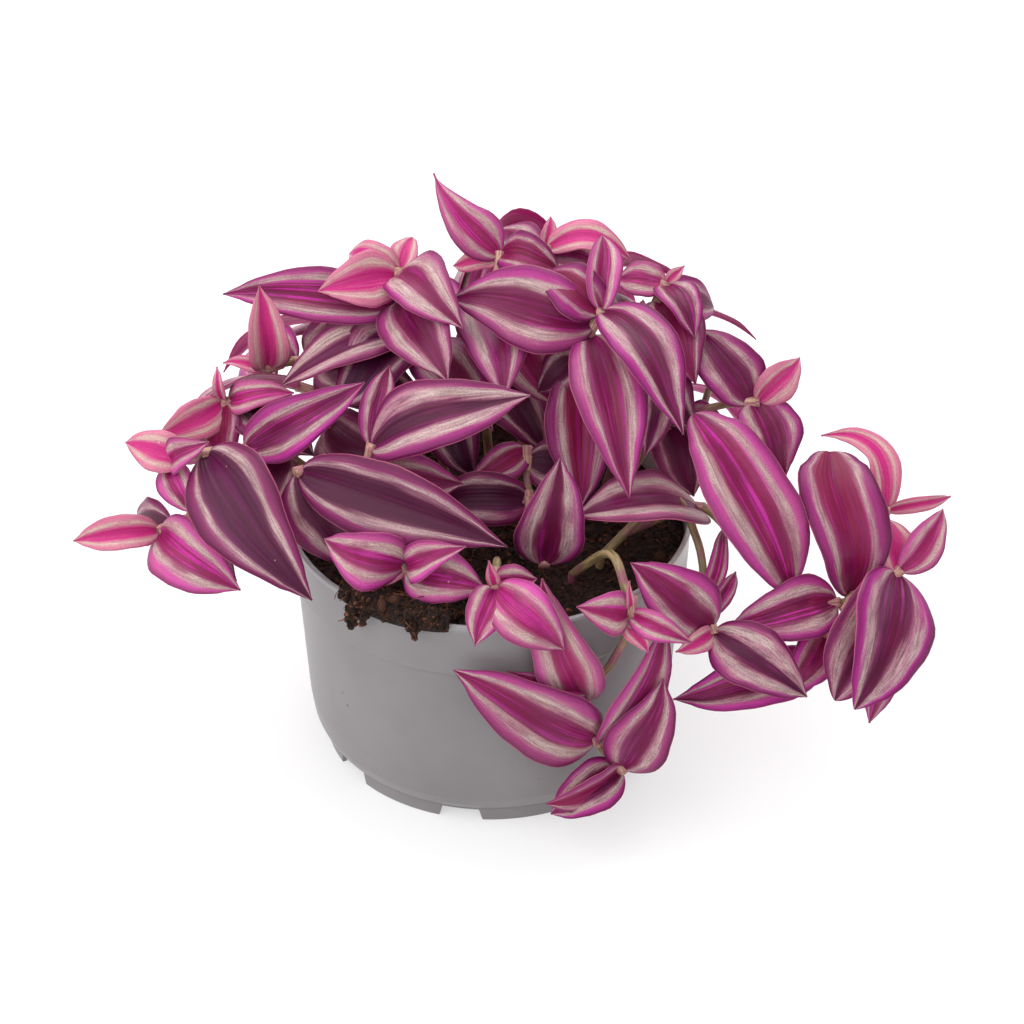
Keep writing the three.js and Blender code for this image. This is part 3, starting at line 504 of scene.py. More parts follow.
class Blade:
    """The middle line and the directions of one leaf that grows from a base in an attitude."""

    def __init__(self, shape, base, back, attitude):
        lift_tip, lift_middle, roll = attitude
        tip = (around if back else seen)(shape["tip"])
        middle = (base + tip) / 2
        outward = unit(middle - MOUND_CENTRE)
        self.lift = outward if back else TOWARD
        facing = outward if back else unit(outward * 0.4 + TOWARD)
        self.shape = shape
        self.base = base
        self.span = tip + self.lift * lift_tip - base
        self.length = float(np.linalg.norm(self.span))
        along = self.span / self.length
        facing = unit(facing - along * np.dot(facing, along))
        angle = math.radians(shape["roll"] + roll)
        self.facing = facing * math.cos(angle) + np.cross(along, facing) * math.sin(angle)
        self.side = np.cross(along, self.facing)
        self.lift_middle = lift_middle
        self.rise = math.radians(shape["fold"])

    def centre(self, t):
        bow = 4 * t * (1 - t)
        arched = self.facing * (self.length * self.shape["arch"] * bow)
        swayed = self.side * (self.length * self.shape["sway"] * bow)
        return self.base + self.span * t + arched + self.lift * (self.lift_middle * bow) + swayed

    def section(self, t):
        """The centre, the direction across and the normal at a share of the length."""
        heading = unit(self.centre(min(t + LOOK_ALONG, 1)) - self.centre(max(t - LOOK_ALONG, 0)))
        normal = unit(self.facing - heading * np.dot(self.facing, heading))
        return self.centre(t), np.cross(heading, normal), normal

    def half(self, t):
        taper = self.shape["taper"]
        least = ROOT_HALF if t < SWELL / (SWELL + taper) else TIP_HALF
        return max(self.shape["width"] / 2 * half_share(t, taper), least)

    def look(self, number):
        """The leaf's colouring, a little different from leaf to leaf; the smallest leaves are young."""
        shape = self.shape
        name = "pale" if shape["width"] < YOUNG_WIDTH and shape["look"] == "plain" else shape["look"]
        return [min(1.0, max(0.0, value + LOOK_SPREAD * scatter(number + 17 + index)))
                for index, value in enumerate(LOOKS[name])]

    def coarse_corners(self, back):
        """The corners that this blade has in the CAD solid."""
        small = self.shape["width"] < SMALL_WIDTH or back
        corners = []
        for t in SMALL_STATIONS if small else LARGE_STATIONS:
            middle, across, normal = self.section(t)
            half = self.half(t)
            aside = across * (half * math.cos(self.rise))
            raised = normal * (half * math.sin(self.rise))
            for sign in (-1, 0, 1):
                top = middle + aside * sign + raised * abs(sign)
                corners += [top, top - normal * BLADE_THICK]
        return corners


def corner_tree(node):
    """A search tree over the corners of a CAD node, in millimetres."""
    vertices = node.data.vertices
    tree = KDTree(len(vertices))
    for vertex in vertices:
        tree.insert(vertex.co / MM, vertex.index)
    tree.balance()
    return tree


def grown_blade(shape, lines, back, tree):
    """The blade in the attitude that the CAD solid shows, or None where the leaf wasn't grown."""
    base, _ = nearest_on(lines, (around if back else seen)(shape["base"]))
    best = (0, None)
    for lift_tip in TIP_LIFTS:
        tip, _, _ = Blade(shape, base, back, (lift_tip, 0, 0)).section(1)
        if tree.find(Vector(tip))[2] > SAME_PLACE:
            continue
        for lift_middle in MIDDLE_LIFTS:
            for roll in ROLLS:
                blade = Blade(shape, base, back, (lift_tip, lift_middle, roll))
                corners = blade.coarse_corners(back)
                hits = sum(tree.find(Vector(corner))[2] < SAME_PLACE for corner in corners)
                if hits > best[0]:
                    best = (hits, blade)
    return best[1]


# Meshes
class Sheets:
    """Corners, faces, materials and corner values that are gathered into one mesh."""

    def __init__(self):
        self.corners = []
        self.faces = []
        self.slots = []
        self.pattern = []
        self.traits = []

    def add(self, corners, faces, slot, pattern, traits):
        """Adds a body; pattern holds a pair for each corner of each face, traits one for all or each face."""
        start = len(self.corners)
        self.corners.extend(corners)
        for index, face in enumerate(faces):
            self.faces.append([start + corner for corner in face])
            self.slots.append(slot)
            self.pattern.extend(pattern[index])
            self.traits.extend([traits[index] if isinstance(traits, list) else traits] * len(face))

    def add_plain(self, corners, faces):
        """Adds a body of one material that has no pattern."""
        self.add(corners, faces, 0, [[(0, 0)] * len(face) for face in faces], (0, 0))

    def build(self, name, materials):
        mesh = bpy.data.meshes.new(name)
        places = [tuple(float(value) * MM for value in corner) for corner in self.corners]
        mesh.from_pydata(places, [], self.faces)
        traits = np.array(self.traits, dtype=np.float32)
        layers = {"pattern": np.array(self.pattern, dtype=np.float32), "traits": traits[:, 0:2]}
        if traits.shape[1] > 2:
            layers.update(look=traits[:, 2:4], dye=traits[:, 4:6])
        for layer_name, values in layers.items():
            layer = mesh.uv_layers.new(name=layer_name)
            layer.data.foreach_set("uv", values.ravel())
        for material in materials:
            mesh.materials.append(material)
        mesh.polygons.foreach_set("material_index", self.slots)
        mesh.polygons.foreach_set("use_smooth", [True] * len(mesh.polygons))
        mesh.update()
        return link(bpy.data.objects.new(name, mesh))


def link(piece):
    bpy.context.scene.collection.objects.link(piece)
    return piece


def grid_faces(rows, columns, start=0, flip=False):
    """The faces of a grid whose corners are stored row by row."""
    faces = []
    for row in range(rows - 1):
        for column in range(columns - 1):
            a = start + row * columns + column
            face = [a, a + 1, a + 1 + columns, a + columns]
            faces.append(face[::-1] if flip else face)
    return faces


def frames_along(line):
    """The direction and two directions across at each point of a line."""
    across = RIGHT if abs(unit(line[1] - line[0])[0]) < 0.9 else np.array([0.0, 1.0, 0.0])
    frames = []
    for index in range(len(line)):
        along = unit(line[min(index + 1, len(line) - 1)] - line[max(index - 1, 0)])
        across = unit(across - along * np.dot(across, along))
        frames.append((along, across, np.cross(along, across)))
    return frames


def add_tube(sheets, line, radii, sides, slot, traits):
    """A closed tube along a line, with its pattern running along it in tens of millimetres."""
    corners = []
    for point, radius, (_, across, other) in zip(line, radii, frames_along(line)):
        for side in range(sides):
            angle = 2 * math.pi * side / sides
            corners.append(point + across * (radius * math.cos(angle)) + other * (radius * math.sin(angle)))
    corners += [line[0], line[-1]]
    lengths = lengths_along(line) / 10
    faces = []
    pattern = []
    for ring in range(len(line) - 1):
        for side in range(sides):
            after = (side + 1) % sides
            near = ring * sides
            far = near + sides
            faces.append([near + side, near + after, far + after, far + side])
            left = side / sides
            right = (side + 1) / sides
            start, end = lengths[ring], lengths[ring + 1]
            pattern.append([(left, start), (right, start), (right, end), (left, end)])
    last = (len(line) - 1) * sides
    for side in range(sides):
        after = (side + 1) % sides
        faces.append([after, side, len(corners) - 2])
        faces.append([last + side, last + after, len(corners) - 1])
        pattern.append([(0.5, 0)] * 3)
        pattern.append([(0.5, lengths[-1])] * 3)
    sheets.add(corners, faces, slot, pattern, traits)


BLADE_ROWS = 26
BLADE_COLUMNS = 13
BLADE_MIDDLE_THICK = 0.62
BLADE_EDGE_THICK = 0.3
VEIN_DEPTH = 0.07
TIP_TAIL = 0.05
TIP_FROM = 0.9
MARGIN_WAVE = 0.7
MARGIN_DROOP = 0.09
MARGIN_UNEVEN = 0.06
MOST_TWIST = math.radians(9)
BEND_SHARE = 0.02
HOOK_SHARE = 0.03
HOOK_FROM = 0.8


def blade_points(blade, number):
    """The corners of a leaf's upper and lower face, row by row from its base to its tip."""
    wave = MARGIN_WAVE * min(1.0, blade.shape["width"] / 20) * (0.7 + 0.3 * scatter(number + 5))
    bend = BEND_SHARE * blade.length * scatter(number + 7)
    twist = MOST_TWIST * scatter(number + 11)
    hook = HOOK_SHARE * blade.length * scatter(number + 19)
    phase = 3 * scatter(number + 9)
    tops = []
    bottoms = []
    for row in range(BLADE_ROWS):
        t = (1 - math.cos(math.pi * row / (BLADE_ROWS - 1))) / 2
        middle, across, normal = blade.section(t)
        turned = twist * math.sin(math.pi * t)
        across, normal = (across * math.cos(turned) + normal * math.sin(turned),
                          normal * math.cos(turned) - across * math.sin(turned))
        hooked = hook * max(0.0, t - HOOK_FROM) / (1 - HOOK_FROM)
        middle = middle + across * (bend * math.sin(2 * math.pi * t) + hooked)
        half = blade.half(t)
        if t > TIP_FROM:
            half = max(half * 0.9, TIP_TAIL + TIP_HALF * (1 - t) / (1 - TIP_FROM))
        for column in range(BLADE_COLUMNS):
            s = 2 * column / (BLADE_COLUMNS - 1) - 1
            away = abs(s)
            height = half * (math.sin(blade.rise) * away ** 0.72 - MARGIN_DROOP * away ** 5)
            height += VEIN_DEPTH * math.cos(away * math.pi * 6) * min(1.0, half / 5)
            offset = 2.1 if s > 0 else 0.0
            height += wave * away ** 3 * math.sin(t * 13 + phase + offset) * math.sin(math.pi * t)
            uneven = 1 + MARGIN_UNEVEN * math.sin(t * 8 + phase * (3 if s > 0 else 5))
            uneven += 0.012 * math.sin(t * 29 + phase * 7 + s)
            point = middle + across * (s * half * uneven * math.cos(blade.rise)) + normal * (height - 0.1)
            thick = BLADE_EDGE_THICK + (BLADE_MIDDLE_THICK - BLADE_EDGE_THICK) * (1 - away) ** 0.7
            thick *= 1 - 0.5 * t ** 4
            tops.append(point)
            bottoms.append(point - normal * thick)
    return tops, bottoms


def blade_faces():
    """The faces of a closed leaf: its lower and upper sides and its rim, all looking outward."""
    below = BLADE_ROWS * BLADE_COLUMNS
    faces = grid_faces(BLADE_ROWS, BLADE_COLUMNS) + grid_faces(BLADE_ROWS, BLADE_COLUMNS, below, flip=True)
    last = (BLADE_ROWS - 1) * BLADE_COLUMNS
    for row in range(BLADE_ROWS - 1):
        a = row * BLADE_COLUMNS
        b = a + BLADE_COLUMNS
        faces.append([a, b, b + below, a + below])
        a += BLADE_COLUMNS - 1
        b += BLADE_COLUMNS - 1
        faces.append([a, a + below, b + below, b])
    for column in range(BLADE_COLUMNS - 1):
        faces.append([column, column + below, column + 1 + below, column + 1])
        faces.append([last + column, last + column + 1, last + column + 1 + below, last + column + below])
    return [face[::-1] for face in faces]


def add_blade(sheets, blade, number, slot):
    """A fine closed leaf: folded along its midrib, finely ribbed, with a slightly wavy margin."""
    tops, bottoms = blade_points(blade, number)
    faces = blade_faces()
    below = len(tops)
    pattern = []
    for face in faces:
        cells = [divmod(corner % below, BLADE_COLUMNS) for corner in face]
        pattern.append([(column / (BLADE_COLUMNS - 1), row / (BLADE_ROWS - 1)) for row, column in cells])
    key = scatter(number + 13) / 2 + 0.5
    traits = [(key, 0.0 if min(face) < below else 1.0, *blade.look(number)) for face in faces]
    sheets.add(tops + bottoms, faces, slot, pattern, traits)


# Materials
def colour(red, green, blue):
    """A colour from its values of 0 to 255 on a screen."""
    return tuple(((value / 255 + 0.055) / 1.055) ** 2.4 if value > 10 else value / 255 / 12.92
                 for value in (red, green, blue)) + (1.0,)


HEART_PURPLE = colour(50, 12, 40)
HEART_WINE = colour(116, 12, 54)
STREAK = colour(118, 16, 96)
VIVID = colour(184, 34, 152)
YOUNG_HEART = colour(196, 44, 122)
MARGIN_DARK = colour(98, 22, 68)
MARGIN_LIGHT = colour(168, 38, 128)
YOUNG_MARGIN = colour(208, 134, 150)
EDGE_DARK = colour(74, 12, 48)
EDGE_LINE = colour(188, 92, 126)
SILVER_DARK = colour(136, 102, 112)
SILVER_LIGHT = colour(190, 168, 162)
SILVER_OLIVE = colour(134, 124, 104)
SILVER_PINK = colour(176, 98, 132)
YOUNG_SILVER = colour(218, 182, 168)
DUSTY = colour(166, 88, 120)
SPECK = colour(210, 176, 192)
UNDER_DARK = colour(160, 18, 92)
UNDER_LIGHT = colour(204, 40, 142)
STEM_OLIVE = colour(104, 92, 58)
STEM_LIGHT = colour(158, 134, 96)
STEM_PURPLE = colour(132, 66, 92)
SHEATH_PINK = colour(150, 84, 100)
SHEATH_BEIGE = colour(190, 158, 132)
POT_GREY = colour(114, 110, 112)
POT_GREY_LIGHT = colour(123, 119, 121)
# Painted highlight along the pot's rim
POT_RIM_HIGHLIGHT = colour(172, 172, 176)
# Painted highlight on the pot's right side, below the rim
POT_SIDE_HIGHLIGHT = colour(206, 204, 196)
POT_DUST = colour(62, 44, 36)
SOIL_DARK = colour(26, 16, 14)
SOIL_BROWN = colour(64, 38, 26)
BARK_DARK = colour(72, 40, 28)
BARK_LIGHT = colour(136, 84, 60)


class Wire:
    """One output in a material's nodes, or a number; expressions on wires add Math nodes."""

    def __init__(self, maker, socket):
        self.maker = maker
        self.socket = socket

    def _math(self, operation, *others):
        return self.maker.node("ShaderNodeMath", {"operation": operation}, *others)

    def __add__(self, other):
        return self._math("ADD", self, other)

    def __sub__(self, other):
        return self._math("SUBTRACT", self, other)

    def __rsub__(self, other):
        return self._math("SUBTRACT", other, self)

    def __mul__(self, other):
        return self._math("MULTIPLY", self, other)

    __radd__ = __add__

    def power(self, other):
        return self._math("POWER", self, other)

    def size(self):
        return self._math("ABSOLUTE", self)

    def most(self, other):
        return self._math("MAXIMUM", self, other)

    def ramp(self, low, high):
        """A smooth step from 0 at low to 1 at high; low may be the greater."""
        settings = {"interpolation_type": "SMOOTHSTEP"}
        if low > high:
            return 1 - self.maker.node("ShaderNodeMapRange", settings, self, high, low)
        return self.maker.node("ShaderNodeMapRange", settings, self, low, high)


class Maker:
    def __init__(self, name):
        self.material = bpy.data.materials.new(name)
        self.material.use_nodes = True
        self.tree = self.material.node_tree
        self.shader = self.tree.nodes["Principled BSDF"]

    def node(self, kind, settings, *inputs, output=0, **named):
        made = self.tree.nodes.new(kind)
        for key, value in settings.items():
            setattr(made, key, value)
        for key, value in list(enumerate(inputs)) + list(named.items()):
            self.feed(made.inputs[key], value)
        return Wire(self, made.outputs[output])

    def feed(self, socket, value):
        if isinstance(value, Wire):
            self.tree.links.new(value.socket, socket)
        else:
            socket.default_value = value

    def mix(self, share, first, second):
        made = self.tree.nodes.new("ShaderNodeMix")
        made.data_type = "RGBA"
        self.feed(made.inputs["Factor"], share)
        self.feed(made.inputs[6], first)
        self.feed(made.inputs[7], second)
        return Wire(self, made.outputs[2])

    def place(self):
        return self.node("ShaderNodeTexCoord", {}, output="Object")

    def noise(self, vector, scale, detail=3.0, rough=0.55):
        return self.node("ShaderNodeTexNoise", {}, Vector=vector, Scale=scale, Detail=detail,
                         Roughness=rough)

    def pair(self, layer):
        """The two values of a corner layer."""
        first, second, _ = self.split(self.node("ShaderNodeUVMap", {"uv_map": layer}))
        return first, second

    def split(self, vector):
        """The three parts of a vector."""
        made = self.tree.nodes.new("ShaderNodeSeparateXYZ")
        self.feed(made.inputs[0], vector)
        return [Wire(self, output) for output in made.outputs]

    def vector(self, x, y, z):
        return self.node("ShaderNodeCombineXYZ", {}, x, y, z)

    def bump(self, height, distance, strength=1.0):
        return self.node("ShaderNodeBump", {}, Height=height, Distance=distance, Strength=strength)

    def finish(self, base, roughness, normal=None, **constants):
        self.feed(self.shader.inputs["Base Color"], base)
        self.feed(self.shader.inputs["Roughness"], roughness)
        if normal is not None:
            self.feed(self.shader.inputs["Normal"], normal)
        for key, value in constants.items():
            self.shader.inputs[key.replace("_", " ")].default_value = value
        return self.material


class LeafMarks:
    """The values that a leaf's stripes are made from: its traits, its noises, and where its silver lies."""

    def __init__(self, maker):
        self.across, self.along = maker.pair("pattern")
        self.key, self.under = maker.pair("traits")
        self.young, self.silver = maker.pair("look")
        self.vivid, self.wine = maker.pair("dye")
        self.away = (self.across * 2 - 1).size()
        self.side = self.across.ramp(0.495, 0.505)
        self.shift = self.key * 57.3
        self.streak = self.noise(maker, 10, 1.7, 0, 4.0, 0.62)
        self.fine = self.noise(maker, 34, 9, 7, 4.0, 0.68)
        self.blotch = self.noise(maker, 2.5, 3.2, 19)
        self.lines = self.noise(maker, 19, 0.7, 61, 2.0)
        self.grain = maker.noise(maker.place(), 2600.0, 1.0)
        self.torn = (self.streak - 0.5) * 0.44 + (self.fine - 0.5) * 0.3 + (self.blotch - 0.5) * 0.22
        self.place_silver(maker)

    def noise(self, maker, wide, long, offset, detail=3.0, rough=0.55):
        """A noise that is stretched along the leaf and differs from leaf to leaf."""
        place = maker.vector(self.across * wide, self.along * long, self.shift + offset)
        return maker.noise(place, 1.0, detail, rough)

    def place_silver(self, maker):
        """Where the silver band of each half lies, how far it reaches and how it fades at its ends."""
        drift = maker.noise(maker.vector(self.side * 4.7, self.along * 1.7, self.shift + 31), 1.0, 2.0)
        swell = maker.noise(maker.vector(self.side * 6.1 + 2, self.along * 2.3, self.shift + 43), 1.0, 2.0)
        self.centre = (drift - 0.5) * 0.4 + (0.6 - self.silver) * 0.16 + 0.56
        reach = self.silver * 0.17 + (swell - 0.5) * 0.34 + 0.05
        inside = reach - (self.away - self.centre).size() - self.torn
        self.halo = inside.ramp(-0.2, 0.05).power(2)
        band = (inside + (self.fine - 0.5) * 0.25).ramp(-0.06, 0.15)
        band = band * (self.along.ramp(0.0, 0.12) * 0.6 + 0.4) * (self.along.ramp(1.0, 0.9) * 0.6 + 0.4)
        self.band = band * (self.blotch.ramp(0.3, 0.46) * 0.6 + 0.4)


def leaf_pink(maker, marks):
    """The pink of a young leaf, paler toward its margin."""
    faded = marks.away.ramp(0.12, 0.6) * 0.6 + (marks.streak - 0.5) * 1.8
    return maker.mix(faded.ramp(0.0, 0.8), YOUNG_HEART, YOUNG_MARGIN)


def leaf_heart(maker, marks, pink):
    """The dark middle of the leaf, with purple streaks and vivid lines."""
    reddened = marks.wine * 0.8 + marks.blotch.ramp(0.4, 0.68) * marks.vivid * 0.5
    heart = maker.mix(reddened, HEART_PURPLE, HEART_WINE)
    heart = maker.mix(marks.streak.ramp(0.48, 0.7) * (marks.vivid * 0.5 + 0.2), heart, STREAK)
    lit = marks.lines.ramp(0.52, 0.62) * marks.blotch.ramp(0.36, 0.56) * (marks.vivid - 0.1).most(0.0)
    heart = maker.mix(lit, heart, VIVID)
    return maker.mix(marks.young * 0.9, heart, pink)


def leaf_margin(maker, marks, pink):
    """The magenta margin, which glows more on one half of a leaf than on the other."""
    chosen = maker.noise(maker.vector(marks.side * 9.3, marks.shift + 71, 5.0), 1.0, 1.0).ramp(0.44, 0.56)
    glow = (marks.vivid * 1.1 - 0.1).most(0.0) * (chosen + 0.5)
    margin = maker.mix(marks.streak.ramp(0.34, 0.66) * (glow * 1.2 + 0.2), MARGIN_DARK, MARGIN_LIGHT)
    margin = maker.mix(glow * marks.streak.ramp(0.66, 0.4) * 0.85, margin, VIVID)
    margin = maker.mix(marks.young * 0.92, margin, pink)
    outer = (marks.away + marks.torn * 0.3).ramp(0.74, 0.98) * (1 - marks.young) * 0.75
    return maker.mix(outer, margin, EDGE_DARK)


def leaf_silver(maker, marks):
    """The silver of the bands, grained, with olive blotches and pink streaks."""
    shine = (marks.fine + (marks.grain - 0.5) * 0.25).ramp(0.28, 0.72)
    metal = maker.mix(shine, SILVER_DARK, SILVER_LIGHT)
    metal = maker.mix(marks.blotch.ramp(0.5, 0.75) * 0.5, metal, SILVER_OLIVE)
    metal = maker.mix(marks.streak.ramp(0.56, 0.76) * 0.35, metal, SILVER_PINK)
    return maker.mix(marks.young * 0.6, metal, YOUNG_SILVER)


def leaf_upper(maker, marks):
    """The leaf's upper side: heart, margins, dusty bloom, silver bands, midrib, edge and white specks."""
    pink = leaf_pink(maker, marks)
    heart = leaf_heart(maker, marks, pink)
    margin = leaf_margin(maker, marks, pink)
    face = maker.mix((marks.away + marks.torn * 0.6 - marks.centre).ramp(-0.1, 0.14), heart, margin)
    bloom = marks.halo * (marks.fine.ramp(0.34, 0.64) * 0.75 + 0.1)
    bloom = bloom + marks.blotch.ramp(0.46, 0.72) * marks.fine.ramp(0.4, 0.66) * (marks.vivid * 0.4)
    face = maker.mix(bloom * (marks.silver * 0.7 + 0.4), face, DUSTY)
    cover = marks.band * (0.94 - marks.streak.ramp(0.5, 0.68) * 0.45)
    face = maker.mix(cover, face, leaf_silver(maker, marks))
    midrib = maker.mix(marks.young, EDGE_DARK, YOUNG_HEART)
    face = maker.mix(marks.away.ramp(0.045, 0.012) * 0.5, face, midrib)
    face = maker.mix(marks.away.ramp(0.965, 0.995) * 0.6, face, EDGE_LINE)
    specks = maker.node("ShaderNodeTexVoronoi", {"feature": "F1"}, Vector=maker.place(), Scale=210.0)
    sparse = maker.noise(maker.place(), 70.0, 2.0)
    face = maker.mix(specks.ramp(0.07, 0.04) * sparse.ramp(0.64, 0.7) * 0.7, face, SPECK)
    return maker.mix(marks.grain.ramp(0.55, 0.25) * 0.25, face, EDGE_DARK)


def leaf_material():
    """Striped leaf: dark heart, torn silver bands, magenta margins, and a vivid underside."""
    maker = Maker("striped_leaf")
    marks = LeafMarks(maker)
    beneath = maker.mix(marks.streak.ramp(0.35, 0.7), UNDER_DARK, UNDER_LIGHT)
    beneath = maker.mix(marks.band * 0.35, beneath, SILVER_PINK)
    base = maker.mix(marks.under, leaf_upper(maker, marks), beneath)
    ribs = maker.node("ShaderNodeMath", {"operation": "SINE"}, marks.away * 46.0)
    cells = maker.noise(maker.place(), 1100.0, 2.0)
    height = ribs * 0.3 + marks.fine * 0.7 + cells * 0.6 + marks.streak * 0.5
    rough = 0.38 + (marks.fine - 0.5) * 0.24 + marks.band * 0.08
    return maker.finish(base, rough, maker.bump(height, 0.00014, 0.6), Specular_IOR_Level=0.18)


def stem_material():
    """Olive to purple stem with fine lengthwise streaks."""
    maker = Maker("stem")
    across, along = maker.pair("pattern")
    tone, _ = maker.pair("traits")
    streak = maker.noise(maker.vector(across * 9, along * 1.4, tone * 31.0), 1.0, 4.0)
    blotch = maker.noise(maker.place(), 120.0, 3.0)
    base = maker.mix(streak.ramp(0.35, 0.7), STEM_OLIVE, STEM_LIGHT)
    base = maker.mix(blotch.ramp(0.46, 0.7), base, STEM_PURPLE)
    return maker.finish(base, 0.42 + streak * 0.2, maker.bump(streak, 0.0002, 0.5))


def sheath_material():
    """Papery pink and beige sheath around the stem."""
    maker = Maker("leaf_sheath")
    across, along = maker.pair("pattern")
    tone, _ = maker.pair("traits")
    ribs = maker.noise(maker.vector(across * 26, along * 0.8, tone * 17.0), 1.0, 3.0)
    base = maker.mix(ribs.ramp(0.35, 0.68), SHEATH_PINK, SHEATH_BEIGE)
    return maker.finish(base, 0.6, maker.bump(ribs, 0.0003, 0.6))


def pot_material():
    """Grey moulded plastic with a faint mottle, light scuffs and grains of soil, and painted highlights on
    the rim and on the right side below it.
    """
    maker = Maker("grey_plastic")
    place = maker.place()
    x, _, z = maker.split(place)
    mottle = maker.noise(place, 22.0, 4.0)
    grain = maker.noise(place, 700.0, 2.0)
    base = maker.mix(mottle.ramp(0.3, 0.7), POT_GREY, POT_GREY_LIGHT)
    # Painted highlight: the pot's top few millimetres, at the rim, are lightened
    base = maker.mix(z.ramp(0.0745, 0.078) * 0.35, base, POT_RIM_HIGHLIGHT)
    # Painted highlight: the right side of the pot, just below the rim, is paled
    thin_section_and_highlight = x.ramp(0.034, 0.05) * z.ramp(0.066, 0.074)
    base = maker.mix(thin_section_and_highlight * 0.55, base, POT_SIDE_HIGHLIGHT)
    dust = maker.node("ShaderNodeTexVoronoi", {"feature": "F1"}, Vector=place, Scale=260.0)
    sparse = maker.noise(place, 48.0, 3.0)
    base = maker.mix(dust.ramp(0.16, 0.1) * sparse.ramp(0.62, 0.7) * 0.75, base, POT_DUST)
    flattened = maker.node("ShaderNodeMapping", {}, Vector=place, Scale=(60.0, 60.0, 900.0))
    scuffs = maker.noise(flattened, 1.0, 3.0)
    rough = 0.36 + (mottle - 0.5) * 0.16 + scuffs.ramp(0.6, 0.8) * 0.1
    return maker.finish(base, rough, maker.bump(grain + scuffs * 0.5, 0.00005, 0.35),
                        Specular_IOR_Level=0.5)


def soil_material(name, dark, light, scale):
    """Crumbly soil or a crumb of it."""
    maker = Maker(name)
    place = maker.place()
    lumps = maker.noise(place, scale, 6.0, 0.7)
    bits = maker.noise(place, scale * 4.5, 3.0)
    base = maker.mix(lumps.ramp(0.4, 0.7), dark, light)
    return maker.finish(base, 0.92, maker.bump(lumps + bits * 0.4, 0.0012, 0.9), Specular_IOR_Level=0.25)


# Settings
class PLANT_PG_pot(bpy.types.PropertyGroup):
    columns: bpy.props.IntProperty(name="Columns", description="Faces around the pot",
                                   default=POT_COLUMNS, min=24)
    rim_round: bpy.props.FloatProperty(name="Rim rounding", description="Radius of the rim's edges in metres",
                                       default=0.5 * MM, unit="LENGTH")


class PLANT_PG_soil(bpy.types.PropertyGroup):
    crumbs: bpy.props.FloatProperty(name="Crumb density", description="Crumbs on a square metre",
                                    default=240000.0)
    crumb_size: bpy.props.FloatProperty(name="Crumb size", description="Radius of a crumb in metres",
                                        default=0.75 * MM, unit="LENGTH")
    fibres: bpy.props.FloatProperty(name="Fibre density", description="Fibres on a square metre",
                                    default=9000.0)
    fibre_length: bpy.props.FloatProperty(name="Fibre length", description="Length of a fibre in metres",
                                          default=6.0 * MM, unit="LENGTH")


class PLANT_PG_stems(bpy.types.PropertyGroup):
    stem_radius: bpy.props.FloatProperty(name="Stem radius", description="Radius of a stem in metres",
                                         default=1.45 * MM, unit="LENGTH")


class PLANT_PG_stage(bpy.types.PropertyGroup):
    floor: bpy.props.FloatVectorProperty(name="Floor", description="Colour of the floor", subtype="COLOR",
                                         size=4, default=(0.44, 0.44, 0.44, 1.0))


def rounded(points, radius, steps=4):
    """An outline with its corners cut to small arcs."""
    made = [points[0]]
    for before, corner, after in zip(points, points[1:], points[2:]):
        before, corner, after = (np.array(point, dtype=float) for point in (before, corner, after))
        reach = min(radius, np.linalg.norm(before - corner) / 2.2, np.linalg.norm(after - corner) / 2.2)
        start = corner + unit(before - corner) * reach
        end = corner + unit(after - corner) * reach
        for index in range(steps + 1):
            share = index / steps
            left = 1 - share
            made.append(tuple(start * left ** 2 + corner * 2 * share * left + end * share ** 2))
    return made + [points[-1]]


def pot_outline(rim_round):
    """The pot's section as [radius, height], from the floor's underside round to the floor's top."""
    band_foot = POT_HEIGHT - BAND_HEIGHT
    outside = [
        (PAD_RADIUS, FLOOR_UNDER), (FOOT_RADIUS - WALL, FLOOR_UNDER),
        (FOOT_RADIUS - WALL, 0.0), (FOOT_RADIUS, 0.0),
        (FOOT_RADIUS + 0.3, FOOT_HEIGHT - 0.9), (FOOT_RADIUS + 0.1, FOOT_HEIGHT - 0.4),
        (FOOT_RADIUS + 1.2, FOOT_HEIGHT), (FOOT_RADIUS + 2.6, FOOT_HEIGHT + 2.2),
        (FOOT_RADIUS + 3.7, FOOT_HEIGHT + 5), (HEEL_RADIUS, HEEL_HEIGHT),
        (RIM_RADIUS - 2.2, band_foot - 0.4), (RIM_RADIUS - 1.2, band_foot + 0.3),
        (RIM_RADIUS - 0.5, POT_HEIGHT - 1.8), (RIM_RADIUS, POT_HEIGHT - 1.4), (RIM_RADIUS, POT_HEIGHT),
    ]
    inside = [
        (RIM_RADIUS - WALL, POT_HEIGHT), (HEEL_RADIUS - WALL, HEEL_HEIGHT),
        (FOOT_RADIUS - 0.5, FLOOR_TOP + 2), (FOOT_RADIUS - 3, FLOOR_TOP),
        (PAD_RADIUS, FLOOR_TOP),
    ]
    return rounded(outside + inside, rim_round)


def pot_wall(outline, columns):
    """The outline turned round the axis, cut up to the notches' height where the foot has a notch."""
    half = math.degrees(NOTCH_WIDTH / 2 / FOOT_RADIUS)
    notches = [NOTCH_START + 360 * index / NOTCH_COUNT for index in range(NOTCH_COUNT)]
    corners = []
    for column in range(columns):
        azimuth = 360 * column / columns
        nearest = min(abs((azimuth - notch + 180) % 360 - 180) for notch in notches)
        lowest = NOTCH_HEIGHT if nearest < half else 0.0
        for radius, height in outline:
            level = max(height, lowest) if radius > PAD_RADIUS + 1 else height
            corners.append(around((azimuth, radius, level)))
    rows = len(outline)
    faces = []
    for column in range(columns):
        here = column * rows
        there = (column + 1) % columns * rows
        faces += [[here + row, there + row, there + row + 1, here + row + 1] for row in range(rows - 1)]
    return corners, faces


